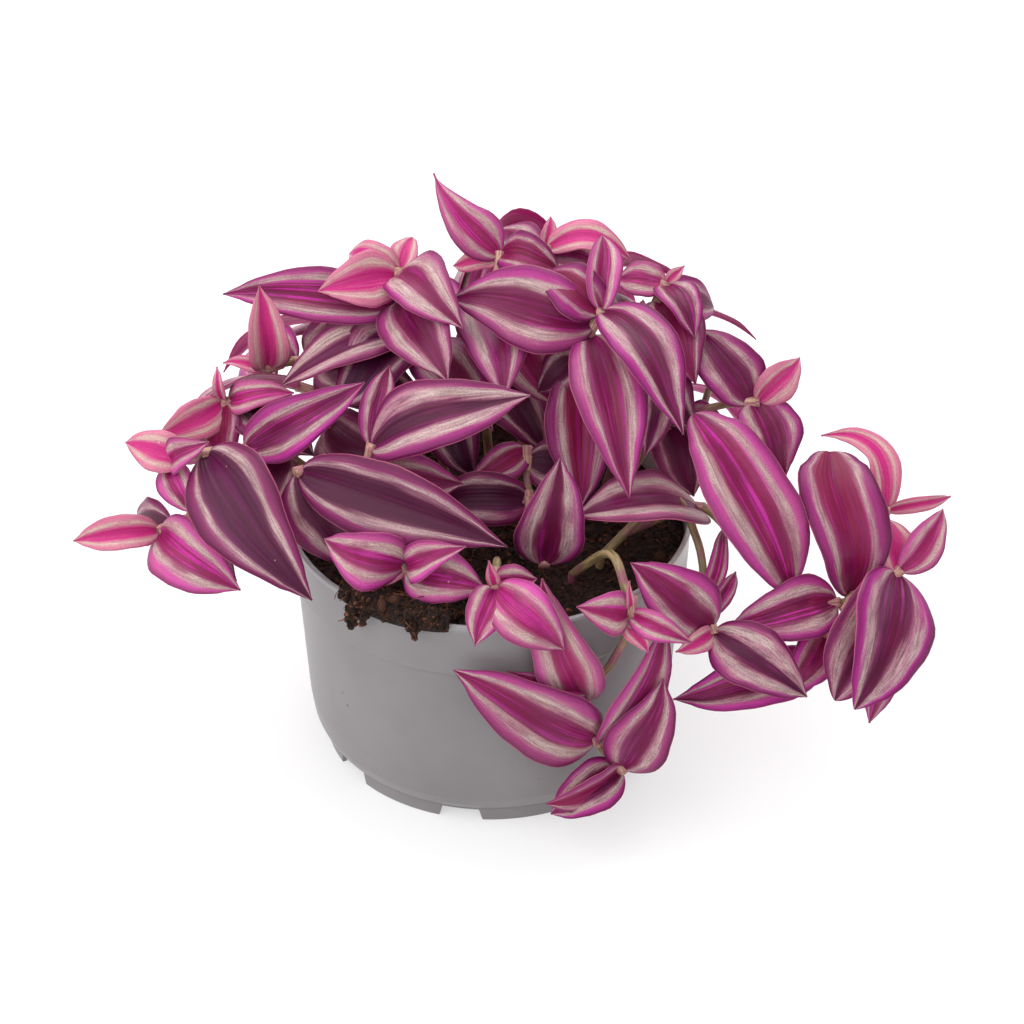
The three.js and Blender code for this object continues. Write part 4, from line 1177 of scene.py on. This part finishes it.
def close_floor(corners, faces, rows, columns):
    """Closes the shell's middle: the pad that reaches down to the foot, and the floor above it."""
    pad = len(corners)
    corners.append(np.array([0.0, 0.0, 0.0]))
    corners += [around((360 * column / columns, PAD_RADIUS, 0.0)) for column in range(columns)]
    upper = len(corners)
    corners.append(np.array([0.0, 0.0, FLOOR_TOP]))
    for column in range(columns):
        after = (column + 1) % columns
        faces.append([pad, pad + 1 + after, pad + 1 + column])
        faces.append([pad + 1 + column, pad + 1 + after, after * rows, column * rows])
        faces.append([upper, column * rows + rows - 1, after * rows + rows - 1])


class PLANT_OT_pot(bpy.types.Operator):
    """Turns the pot's outline into a fine shell with notches in its foot and a flat pad under its floor"""
    bl_idname = "plant.pot"
    bl_label = "Pot"

    def execute(self, context):
        settings = context.scene.plant_pot
        outline = pot_outline(settings.rim_round / MM)
        corners, faces = pot_wall(outline, settings.columns)
        close_floor(corners, faces, len(outline), settings.columns)
        sheets = Sheets()
        sheets.add_plain(corners, faces)
        shell = sheets.build("pot_shell", [pot_material()])
        sharpen(shell)
        cut_drains(shell)
        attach(shell, "root")
        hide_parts("pot")
        return {"FINISHED"}


def sharpen(piece, angle=40.0):
    """Marks the edges that turn by more than the angle as sharp, so that the rest shades smoothly."""
    piece.data.set_sharp_from_angle(angle=math.radians(angle))


def cut_drains(shell):
    """Cuts the round drain holes through the pot's floor."""
    sheets = Sheets()
    for index in range(DRAIN_COUNT):
        x, y, _ = around((360 * index / DRAIN_COUNT, DRAIN_CIRCLE, 0))
        line = [np.array([x, y, -2.0]), np.array([x, y, FOOT_HEIGHT + WALL + 3])]
        add_tube(sheets, line, [DRAIN_RADIUS] * 2, DRAIN_SIDES, 0, (0, 0))
    cutter = sheets.build("drain_cutter", [])
    change = shell.modifiers.new("drains", "BOOLEAN")
    change.operation = "DIFFERENCE"
    change.solver = "EXACT"
    change.object = cutter
    bake(shell)
    bpy.data.objects.remove(cutter)


def bake(piece):
    """Turns the piece's modifiers into its plain mesh."""
    graph = bpy.context.evaluated_depsgraph_get()
    made = bpy.data.meshes.new_from_object(piece.evaluated_get(graph))
    piece.modifiers.clear()
    piece.data = made


# Soil
class Tree:
    """Builds one Geometry Nodes tree with named inputs."""

    def __init__(self, name, numbers):
        self.tree = bpy.data.node_groups.new(name, "GeometryNodeTree")
        self.sockets = {}
        self.tree.interface.new_socket("Geometry", in_out="INPUT", socket_type="NodeSocketGeometry")
        for label in numbers:
            made = self.tree.interface.new_socket(label, in_out="INPUT", socket_type="NodeSocketFloat")
            self.sockets[label] = made.identifier
        self.tree.interface.new_socket("Geometry", in_out="OUTPUT", socket_type="NodeSocketGeometry")
        self.source = self.tree.nodes.new("NodeGroupInput")
        self.sink = self.tree.nodes.new("NodeGroupOutput")

    def node(self, kind, settings=None, output=0, **inputs):
        """Adds a node and returns the chosen output; inputs are named with underscores for spaces."""
        made = self.tree.nodes.new(kind)
        for key, value in (settings or {}).items():
            setattr(made, key, value)
        for key, value in inputs.items():
            label = key.replace("_", " ")
            sockets = [socket for socket in made.inputs if socket.enabled and socket.name == label]
            if isinstance(value, bpy.types.NodeSocket):
                self.tree.links.new(value, sockets[0])
            else:
                sockets[0].default_value = value
        return made.outputs[output]

    def random(self, low, high, seed, kind="FLOAT"):
        made = self.tree.nodes.new("FunctionNodeRandomValue")
        made.data_type = kind
        sockets = [socket for socket in made.inputs if socket.enabled]
        for socket, value in zip(sockets, (low, high)):
            if isinstance(value, bpy.types.NodeSocket):
                self.tree.links.new(value, socket)
            else:
                socket.default_value = value
        made.inputs["Seed"].default_value = seed
        return [socket for socket in made.outputs if socket.enabled][0]

    def end(self, geometry, material):
        real = self.node("GeometryNodeRealizeInstances", Geometry=geometry)
        painted = self.node("GeometryNodeSetMaterial", Geometry=real, Material=material)
        self.tree.links.new(painted, self.sink.inputs[0])


def crumb_tree(name, material, seed, level):
    """Scatters small lumpy crumbs over a mesh, some sunk in it."""
    made = Tree(name, ["Density", "Size"])
    source, density, size = made.source.outputs[0], made.source.outputs[1], made.source.outputs[2]
    points = made.node("GeometryNodeDistributePointsOnFaces", Mesh=source, Density=density, Seed=seed)
    ball = made.node("GeometryNodeMeshIcoSphere", Radius=1.0, Subdivisions=level)
    wobble = made.tree.nodes.new("ShaderNodeTexNoise")
    wobble.inputs["Scale"].default_value = 1.7
    centred = made.node("ShaderNodeVectorMath", {"operation": "SUBTRACT"})
    made.tree.links.new(wobble.outputs["Color"], centred.node.inputs[0])
    centred.node.inputs[1].default_value = (0.5, 0.5, 0.5)
    lumpy = made.node("GeometryNodeSetPosition", Geometry=ball, Offset=centred)
    turn = made.random((0.0, 0.0, 0.0), (6.3, 6.3, 6.3), seed + 1, "FLOAT_VECTOR")
    scale = made.random((0.25, 0.25, 0.2), (1.0, 0.9, 0.75), seed + 2, "FLOAT_VECTOR")
    grown = made.node("ShaderNodeVectorMath", {"operation": "SCALE"})
    made.tree.links.new(scale, grown.node.inputs[0])
    made.tree.links.new(size, grown.node.inputs["Scale"])
    crumbs = made.node("GeometryNodeInstanceOnPoints", Points=points, Instance=lumpy, Rotation=turn,
                       Scale=grown)
    made.end(crumbs, material)
    return made


def fibre_tree(name, material, seed):
    """Scatters short bent fibres over a mesh."""
    made = Tree(name, ["Density", "Length"])
    source, density, length = made.source.outputs[0], made.source.outputs[1], made.source.outputs[2]
    points = made.node("GeometryNodeDistributePointsOnFaces", Mesh=source, Density=density, Seed=seed)
    line = made.node("GeometryNodeCurveQuadraticBezier", Resolution=6, Start=(-0.5, 0, 0.0),
                     Middle=(0.0, 0.35, 0.35), End=(0.5, 0.0, 0.1))
    ring = made.node("GeometryNodeCurvePrimitiveCircle", {"mode": "RADIUS"}, Resolution=5, Radius=0.028)
    strand = made.node("GeometryNodeCurveToMesh", Curve=line, Profile_Curve=ring, Fill_Caps=True)
    turn = made.random((-0.5, -0.5, 0.0), (0.5, 0.5, 6.3), seed + 1, "FLOAT_VECTOR")
    scale = made.random(0.35, 1.0, seed + 2)
    grown = made.node("ShaderNodeMath", {"operation": "MULTIPLY"})
    made.tree.links.new(scale, grown.node.inputs[0])
    made.tree.links.new(length, grown.node.inputs[1])
    strands = made.node("GeometryNodeInstanceOnPoints", Points=points, Instance=strand, Rotation=turn,
                        Scale=grown)
    made.end(strands, material)
    return made


def scattered(base, name, made, values):
    """A plain mesh made by a tree over a copy of the base piece."""
    piece = link(bpy.data.objects.new(name, base.data.copy()))
    change = piece.modifiers.new("scatter", "NODES")
    change.node_group = made.tree
    for label, value in values.items():
        change[made.sockets[label]] = value
    bake(piece)
    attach(piece, "root")
    return piece


# The clump's section as (radius, height): its underside along the rim, and its top at the middle and the ends
CLUMP_UNDER = [(50, 66), (56.4, 68), (57.6, 78.4), (60.4, 78.5), (60.6, 76.6)]
CLUMP_OVER = [(62, 76.2), (62.6, 79), (61.6, 81.4), (57.6, 82.6), (51.5, 78.8), (45, 71)]
CLUMP_THIN = [(61.3, 77), (61.5, 78.4), (60.9, 79.8), (57.4, 80.4), (53, 75.4), (46.5, 70)]
# The bits that hang from it: their way as (azimuth, radius, height), and their girth from top to end
CLUMP_BITS = (
    (((-127, 61.8, 79.4), (-128, 62.8, 77.4), (-129, 62.6, 69.6)), (1.5, 1.6, 0.8)),
    (((-124, 61.8, 79.2), (-124.4, 62.5, 77), (-125.2, 62.4, 72.5)), (1.3, 1.2, 0.6)),
    (((-111, 61.8, 79), (-110.6, 62.4, 77), (-110, 62.2, 73.4)), (1.1, 1.1, 0.6)),
)


def soil_height(x, y):
    """The height of the soil's lumpy surface."""
    place = Vector((x, y, 0)) / SOIL_MOUND
    coarse = noise.noise(place) * 2.2
    lumps = noise.noise(place * 3.4 + Vector((9, 2, 4))) * 1.2
    fine = abs(noise.noise(place * 9.0 + Vector((3, 7, 1)))) * 0.9
    return SOIL_LEVEL + 0.9 + coarse * 0.6 + lumps + fine


def soil_bed():
    """The soil's body: its lumpy top, its side against the pot and its underside."""
    columns = SOIL_COLUMNS
    radii = [SOIL_EDGE * (index / SOIL_RINGS) for index in range(1, SOIL_RINGS + 1)]
    corners = [np.array([0, 0, soil_height(0, 0)])]
    for radius in radii:
        for column in range(columns):
            x, y, _ = around((360 * column / columns, radius, 0))
            sunk = SOIL_SINK * max(0.0, radius / SOIL_EDGE - SOIL_SINK_FROM)
            corners.append(np.array([x, y, soil_height(x, y) - sunk]))
    low = [(HEEL_RADIUS - WALL - 0.6, HEEL_HEIGHT), (FOOT_RADIUS - 0.8, SOIL_UNDER + 2),
           (FOOT_RADIUS - 3.3, SOIL_UNDER)]
    for radius, height in low:
        corners += [around((360 * column / columns, radius, height)) for column in range(columns)]
    corners.append(np.array([0, 0, SOIL_UNDER]))
    faces = [[0, 1 + column, 1 + (column + 1) % columns] for column in range(columns)]
    rings = len(radii) + len(low)
    for ring in range(rings - 1):
        for column in range(columns):
            after = (column + 1) % columns
            a = 1 + ring * columns
            faces.append([a + column, a + columns + column, a + columns + after, a + after])
    last = 1 + (rings - 1) * columns
    faces += [[last + (column + 1) % columns, last + column, len(corners) - 1] for column in range(columns)]
    return corners, faces


def soil_clump():
    """The clump that has spilled over the rim at the front left, as a closed lumpy body."""
    corners = []
    section = rounded([*CLUMP_OVER, *CLUMP_UNDER, CLUMP_OVER[0]], CLUMP_ROUND, 3)[:-1]
    thin_section_and_highlight = rounded([*CLUMP_THIN, *CLUMP_UNDER, CLUMP_THIN[0]], CLUMP_ROUND, 3)[:-1]
    count = len(section)
    for step in range(CLUMP_STEPS + 1):
        share = step / CLUMP_STEPS
        azimuth = CLUMP_FROM + (CLUMP_TO - CLUMP_FROM) * share
        full = math.sin(math.pi * share) ** 0.5
        for index, ((r0, z0), (r1, z1)) in enumerate(zip(thin_section_and_highlight, section)):
            radius = r0 + (r1 - r0) * full
            height = z0 + (z1 - z0) * full
            point = around((azimuth, radius, height))
            rough = noise.noise(Vector(point) / 3.1) * 1.1 + noise.noise(Vector(point) / 1.3) * 0.5
            outer = 1.0 if index < count * 0.55 else 0.0
            corners.append(around((azimuth, radius + rough * outer, height + rough * outer * 0.8)))
    faces = []
    for step in range(CLUMP_STEPS):
        a = step * count
        for index in range(count):
            after = (index + 1) % count
            faces.append([a + index, a + after, a + count + after, a + count + index])
    last = CLUMP_STEPS * count
    faces.append(list(range(count))[::-1])
    faces.append(list(range(last, last + count)))
    return corners, faces


def hanging_bits(sheets):
    """The matted bits that hang from the clump, as lumpy closed tubes."""
    for way, radii in CLUMP_BITS:
        line = smooth_line([around(point) for point in way], 0.7)
        girth = np.interp(np.linspace(0, 1, len(line)), (0, 0.4, 1), radii)
        lumps = [1 + 0.25 * noise.noise(Vector(point) * 0.9) for point in line]
        girth = [radius * lump for radius, lump in zip(girth, lumps)]
        add_tube(sheets, line, girth, 10, 0, (0, 0))


def outward(piece):
    """Turns the piece's faces outward."""
    work = bmesh.new()
    work.from_mesh(piece.data)
    bmesh.ops.recalc_face_normals(work, faces=work.faces)
    work.to_mesh(piece.data)
    work.free()


# What lies loose on the soil: its name, its material, its seed, its share of the crumbs' density, its
# size beside a crumb's, and how finely it is made
CRUMBS = (
    ("crumbs_dark", "dark", 3, 1.0, 1.6, 1),
    ("crumbs_bark", "bark", 11, 0.1, 1.7, 1),
    ("lumps", "lump", 31, 0.012, 3.2, 2),
)
FIBRE_SEED = 23
FIBRE_SHARE = 1.4
CLUMP_DENSITY = 5.0


def finish_soil(sheets, name, material):
    """A body of soil that stands for the CAD soil."""
    body = sheets.build(name, [material])
    outward(body)
    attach(body, "root")
    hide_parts("soil")
    return body


class PLANT_OT_soil(bpy.types.Operator):
    """Fills the pot with lumpy soil, spills a clump over the rim and scatters crumbs and fibres on both"""
    bl_idname = "plant.soil"
    bl_label = "Soil"

    def execute(self, context):
        settings = context.scene.plant_soil
        materials = {
            "dark": soil_material("soil_dark", SOIL_DARK, SOIL_BROWN, 420.0),
            "bark": soil_material("bark_crumb", BARK_DARK, BARK_LIGHT, 600.0),
            "lump": soil_material("soil_lump", SOIL_BROWN, BARK_DARK, 500.0),
        }
        bed = Sheets()
        bed.add_plain(*soil_bed())
        clump = Sheets()
        clump.add_plain(*soil_clump())
        hanging_bits(clump)
        bodies = [finish_soil(bed, "soil_bed", materials["dark"]),
                  finish_soil(clump, "soil_clump", materials["dark"])]
        for body, part, more in zip(bodies, ("bed", "clump"), (1.0, CLUMP_DENSITY)):
            base = top_faces(body, f"{part}_surface")
            for name, kind, seed, share, scale, level in CRUMBS:
                tree = crumb_tree(f"{kind}_{part}", materials[kind], seed, level)
                values = {"Density": settings.crumbs * more * share, "Size": settings.crumb_size * scale}
                scattered(base, f"{name}_{part}", tree, values)
            tree = fibre_tree(f"fibre_{part}", materials["bark"], FIBRE_SEED)
            values = {"Density": settings.fibres * more * FIBRE_SHARE, "Length": settings.fibre_length}
            scattered(base, f"fibres_{part}", tree, values)
            bpy.data.objects.remove(base)
        return {"FINISHED"}


def top_faces(piece, name):
    """A copy of the faces of a piece that look up, or outward past the rim, near the pot's top."""
    source = piece.data
    keep = [polygon for polygon in source.polygons
            if polygon.center.z > (POT_HEIGHT - 16) * MM and polygon.normal.z > -0.2
            and (polygon.center.xy.length > (RIM_RADIUS + 1.5) * MM or polygon.normal.z > 0.15)]
    mesh = bpy.data.meshes.new(name)
    places = [tuple(vertex.co) for vertex in source.vertices]
    mesh.from_pydata(places, [], [tuple(polygon.vertices) for polygon in keep])
    mesh.update()
    return link(bpy.data.objects.new(name, mesh))


# Stems and leaves
STEM_SIDES = 12
STEM_THINS = 0.25
JOINT_SWELL = 0.22
JOINT_REACH = 1.6
SHEATH_LENGTH = 4.5
SHEATH_OVER = 0.8
SHEATH_GIRTHS = (1.0, 1.04, 1.08, 1.12, 1.2)
KEYS_A_STEM = 40
LEAF_SLOT = 0
STEM_SLOT = 1
SHEATH_SLOT = 2


def stem_radii(line, radius, joints):
    """The stem's radius at each point of its line: it thins to its end and swells at its joints."""
    radii = []
    for index, point in enumerate(line):
        near = min((float(np.linalg.norm(point - joint)) for joint in joints), default=99.0)
        swell = 1 + JOINT_SWELL * math.exp(-(near / JOINT_REACH) ** 2)
        radii.append(radius * (1 - STEM_THINS * index / (len(line) - 1)) * swell)
    return radii


def plain_traits(number):
    """The traits of a stem or a sheath: a tone of its own, and zeros where a leaf has its look."""
    return (scatter(number) / 2 + 0.5, 0, 0, 0, 0, 0)


def add_sheath(sheets, lines, blade, key, radius):
    """The papery sheath that wraps the stem under a leaf's base and widens toward it."""
    point, along = nearest_on(lines, blade.base)
    reach = SHEATH_LENGTH + scatter(key + 4)
    start = point - along * reach
    shares = np.linspace(0, 1, len(SHEATH_GIRTHS))
    line = [start + along * (reach + SHEATH_OVER) * share for share in shares]
    girth = [radius * scale for scale in SHEATH_GIRTHS]
    add_tube(sheets, line, girth, STEM_SIDES, SHEATH_SLOT, plain_traits(key))


def make_plant(stem, number, radius, materials):
    """One stem with its leaves and sheaths, in its CAD node's attitudes; a leaf the node lacks isn't made."""
    back = bool(stem.get("back"))
    tree = corner_tree(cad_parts[stem["name"]])
    coarse = stem_lines(stem, STEM_STEP)
    blades = {}
    for index, shape in enumerate(stem["leaves"]):
        blade = grown_blade(shape, coarse, back, tree)
        if blade is not None:
            blades[number * KEYS_A_STEM + index] = blade
    sheets = Sheets()
    joints = [blade.base for blade in blades.values()]
    fine = stem_lines(stem, FINE_STEP)
    for line in fine:
        radii = stem_radii(line, radius, joints)
        add_tube(sheets, line, radii, STEM_SIDES, STEM_SLOT, plain_traits(number))
    for key, blade in blades.items():
        add_blade(sheets, blade, key, LEAF_SLOT)
        add_sheath(sheets, fine, blade, key, radius)
    piece = sheets.build(stem["name"].replace("stem_", "plant_"), materials)
    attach(piece, "root")
    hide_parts(stem["name"])
    return len(blades), len(stem["leaves"])


class PLANT_OT_stems(bpy.types.Operator):
    """Builds every stem with its striped leaves and papery sheaths"""
    bl_idname = "plant.stems"
    bl_label = "Stems and leaves"

    def execute(self, context):
        radius = context.scene.plant_stems.stem_radius / MM
        materials = [leaf_material(), stem_material(), sheath_material()]
        stems = STEMS + [back_stem(*values, index + 1) for index, values in enumerate(BACK_STEMS)]
        grown = [make_plant(stem, number, radius, materials) for number, stem in enumerate(stems)]
        print("leaves grown", sum(count for count, _ in grown), "of", sum(count for _, count in grown))
        return {"FINISHED"}


# Stage: lengths in metres; each light has a name, a place, a size across and a power
WHITE = (1.0, 1.0, 1.0, 1.0)
FLOOR_REACH = 6.0
FLOOR_GLOW = 0.52
WORLD_LIGHT = 0.6
LIT_PLACE = Vector((0.0, 0.0, 0.06))
LIGHTS = (
    ("key", (-1.2, -0.5, 1.4), 2.8, 42.0),
    ("fill", (0.5, -1.7, 1.1), 1.6, 8.0),
    ("back", (0.2, 1.0, 1.6), 2.0, 31.0),
)


def lay_floor(tint):
    """The pale floor, which glows a little so that it stays near white under the shadows."""
    mesh = bpy.data.meshes.new("floor")
    reach = FLOOR_REACH
    places = [(-reach, -reach, 0), (reach, -reach, 0), (reach, reach, 0), (-reach, reach, 0)]
    mesh.from_pydata(places, [], [(0, 1, 2, 3)])
    floor = link(bpy.data.objects.new("floor", mesh))
    pale = Maker("pale_floor").finish(tint, 0.9, Specular_IOR_Level=0.1, Emission_Color=WHITE,
                                      Emission_Strength=FLOOR_GLOW)
    mesh.materials.append(pale)


def hang_lights():
    """Round soft lights that all face the plant, and an even white sky."""
    for name, place, size, power in LIGHTS:
        lamp = bpy.data.lights.new(name, "AREA")
        lamp.shape = "DISK"
        lamp.size = size
        lamp.energy = power
        holder = link(bpy.data.objects.new(name, lamp))
        holder.location = place
        holder.rotation_euler = (LIT_PLACE - Vector(place)).to_track_quat("-Z", "Y").to_euler()
    world = bpy.data.worlds.new("studio")
    world.use_nodes = True
    background = world.node_tree.nodes["Background"]
    background.inputs["Color"].default_value = WHITE
    background.inputs["Strength"].default_value = WORLD_LIGHT
    return world


def place_camera():
    """The camera in front of the picture plane, with the rim's centre where the photograph has it."""
    lens = bpy.data.cameras.new("camera")
    lens.sensor_width = SENSOR
    lens.lens = SENSOR * VIEW_DISTANCE * PIXELS_PER_MM / PICTURE_WIDTH
    lens.shift_x = (PICTURE_WIDTH / 2 - RIM_PIXEL[0]) / PICTURE_WIDTH
    lens.shift_y = (RIM_PIXEL[1] - PICTURE_WIDTH / 2) / PICTURE_WIDTH
    camera = link(bpy.data.objects.new("camera", lens))
    place = (RIM_CENTRE + TOWARD * VIEW_DISTANCE) * MM
    turn = Matrix((RIGHT, UP, TOWARD)).transposed()
    camera.matrix_world = Matrix.Translation(place) @ turn.to_4x4()
    return camera


class PLANT_OT_stage(bpy.types.Operator):
    """Sets the pale floor, the soft lights and the camera at the photograph's angle"""
    bl_idname = "plant.stage"
    bl_label = "Stage"

    def execute(self, context):
        scene = context.scene
        lay_floor(tuple(scene.plant_stage.floor))
        scene.world = hang_lights()
        scene.view_settings.view_transform = "Standard"
        scene.camera = place_camera()
        return {"FINISHED"}


class PLANT_PT_panel(bpy.types.Panel):
    """Lists the plant's pieces"""
    bl_idname = "PLANT_PT_panel"
    bl_label = "Potted plant"
    bl_space_type = "VIEW_3D"
    bl_region_type = "UI"
    bl_category = "Plant"

    def draw(self, context):
        for group, operator in (("plant_pot", "plant.pot"), ("plant_soil", "plant.soil"),
                                ("plant_stems", "plant.stems"), ("plant_stage", "plant.stage")):
            settings = getattr(context.scene, group)
            for key in settings.__annotations__:
                self.layout.prop(settings, key)
            self.layout.operator(operator)


GROUPS = (
    ("plant_pot", PLANT_PG_pot),
    ("plant_soil", PLANT_PG_soil),
    ("plant_stems", PLANT_PG_stems),
    ("plant_stage", PLANT_PG_stage),
)
CLASSES = (
    PLANT_PG_pot, PLANT_PG_soil, PLANT_PG_stems, PLANT_PG_stage,
    PLANT_OT_pot, PLANT_OT_soil, PLANT_OT_stems, PLANT_OT_stage,
    PLANT_PT_panel,
)


def register():
    for made in CLASSES:
        bpy.utils.register_class(made)
    for name, group in GROUPS:
        setattr(bpy.types.Scene, name, bpy.props.PointerProperty(type=group))


def unregister():
    for name, _ in GROUPS:
        delattr(bpy.types.Scene, name)
    for made in reversed(CLASSES):
        bpy.utils.unregister_class(made)


def main():
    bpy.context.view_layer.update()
    register()
    bpy.ops.plant.pot()
    bpy.ops.plant.soil()
    bpy.ops.plant.stems()
    bpy.ops.plant.stage()


if __name__ == "__main__":
    main()
